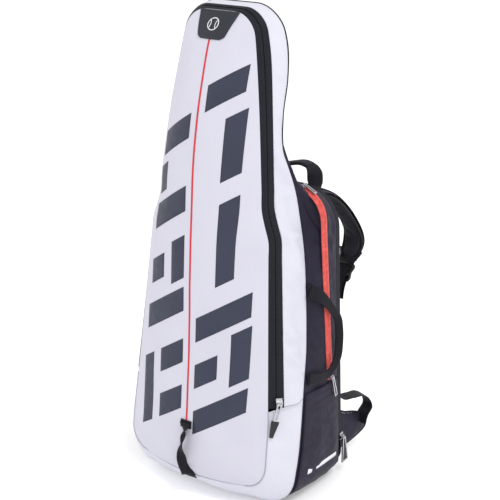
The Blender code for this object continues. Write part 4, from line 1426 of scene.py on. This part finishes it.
def yoke():
    rows = []
    up, across = 8, 40
    for j in range(up + 1):
        row = []
        for i in range(across + 1):
            s = 2 * i / across - 1
            z = 426 + 38 * j / up - 6 * abs(s) ** 3 * (1 - j / up)
            puff = 1.0 + 3.2 * math.sin(math.pi * j / up) ** 0.5 * (1 - abs(s) ** 8)
            row.append(Vector((106 * s, back_depth(z) + puff, z)))
        rows.append(row)
    piece = thicken(grid("strap_yoke_fabric", rows), 1.2, 0.0)
    dress(piece, BLACK_CLOTH, "door", "black_fabric", "strap_yoke")
    lines = [([p + Vector((0, 0.9, 0)) for p in rows[k]], lambda p: Vector((0, 1, 0)))
             for k in (1, -2)]
    stitches("yoke_stitches", lines, DARK_THREAD, "door", "black_fabric")


back_zip()
back_panel()
back_pads()
yoke()
for strap_name, strap_sign in SIDES:
    shoulder_strap(strap_name, strap_sign)
    lower_web(strap_name, strap_sign)
    ladder_lock(strap_name, strap_sign)
    wing(strap_name, strap_sign)
top_handle()


# ================================================================ CAD nodes that stay
def finish_cad_nodes():
    for name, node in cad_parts.items():
        if any(part in name for part in ("slider", "pull_frame", "pull_low", "pull_top", "link")):
            coat = SILVER
        elif "pull_core" in name or "pull_tab" in name:
            coat = PLASTIC
        elif name in ("laptop_divider", "base_board", "frame_sheet"):
            coat = BOARD
        else:
            continue
        paint_with(node, coat)
        edge = node.modifiers.new("Edge", "BEVEL")
        edge.width = 0.4 * MM
        edge.segments = 3
        edge.limit_method = "ANGLE"


finish_cad_nodes()


# ================================================================ camera, floor and light
CAMERA_AZIMUTH = 37
CAMERA_HEIGHT = 18
CAMERA_AIM = (0, 0.03, 0.38)
CAMERA_DISTANCE = 2.0
LIGHT_AIM = (0, 0, 0.35)
LIGHTS = (("key", (2.1, -1.2, 3.25), 1.0, 52), ("fill", (-1.9, -1.2, 1.2), 1.6, 8),
          ("rim", (1.4, 1.7, 1.4), 1.0, 6))


def studio():
    azimuth = math.radians(CAMERA_AZIMUTH)
    height = math.radians(CAMERA_HEIGHT)
    back = Vector((math.sin(azimuth) * math.cos(height), -math.cos(azimuth) * math.cos(height),
                   math.sin(height)))
    data = bpy.data.cameras.new("camera")
    data.lens = 92.9
    data.sensor_width = 36
    data.shift_x = 0.02
    data.shift_y = -0.01
    camera = bpy.data.objects.new("camera", data)
    camera.location = Vector(CAMERA_AIM) + back * CAMERA_DISTANCE
    camera.rotation_mode = "QUATERNION"
    camera.rotation_quaternion = (-back).to_track_quat("-Z", "Y")
    bpy.context.scene.collection.objects.link(camera)
    bpy.context.scene.camera = camera

    bpy.ops.mesh.primitive_plane_add(size=30, location=(0, 0, -0.0005))
    floor = bpy.context.object
    floor.name = "floor"
    paint = bpy.data.materials.new("floor")
    paint.use_nodes = True
    shader = paint.node_tree.nodes["Principled BSDF"]
    set_inputs(shader, Base_Color=(0.90, 0.90, 0.91, 1), Roughness=0.9,
               Emission_Color=(1, 1, 1, 1), Emission_Strength=0.20)
    floor.data.materials.append(paint)

    world = bpy.data.worlds.new("studio")
    world.use_nodes = True
    set_inputs(world.node_tree.nodes["Background"], Color=(1, 1, 1, 1), Strength=1.0)
    bpy.context.scene.world = world
    for name, place, size, power in LIGHTS:
        light = bpy.data.lights.new(name, "AREA")
        light.energy = power
        light.size = size
        lamp = bpy.data.objects.new(name, light)
        lamp.location = place
        lamp.rotation_mode = "QUATERNION"
        aim = Vector(LIGHT_AIM) - Vector(place)
        lamp.rotation_quaternion = aim.to_track_quat("-Z", "Y")
        bpy.context.scene.collection.objects.link(lamp)
    bpy.context.scene.view_settings.view_transform = "Standard"


studio()
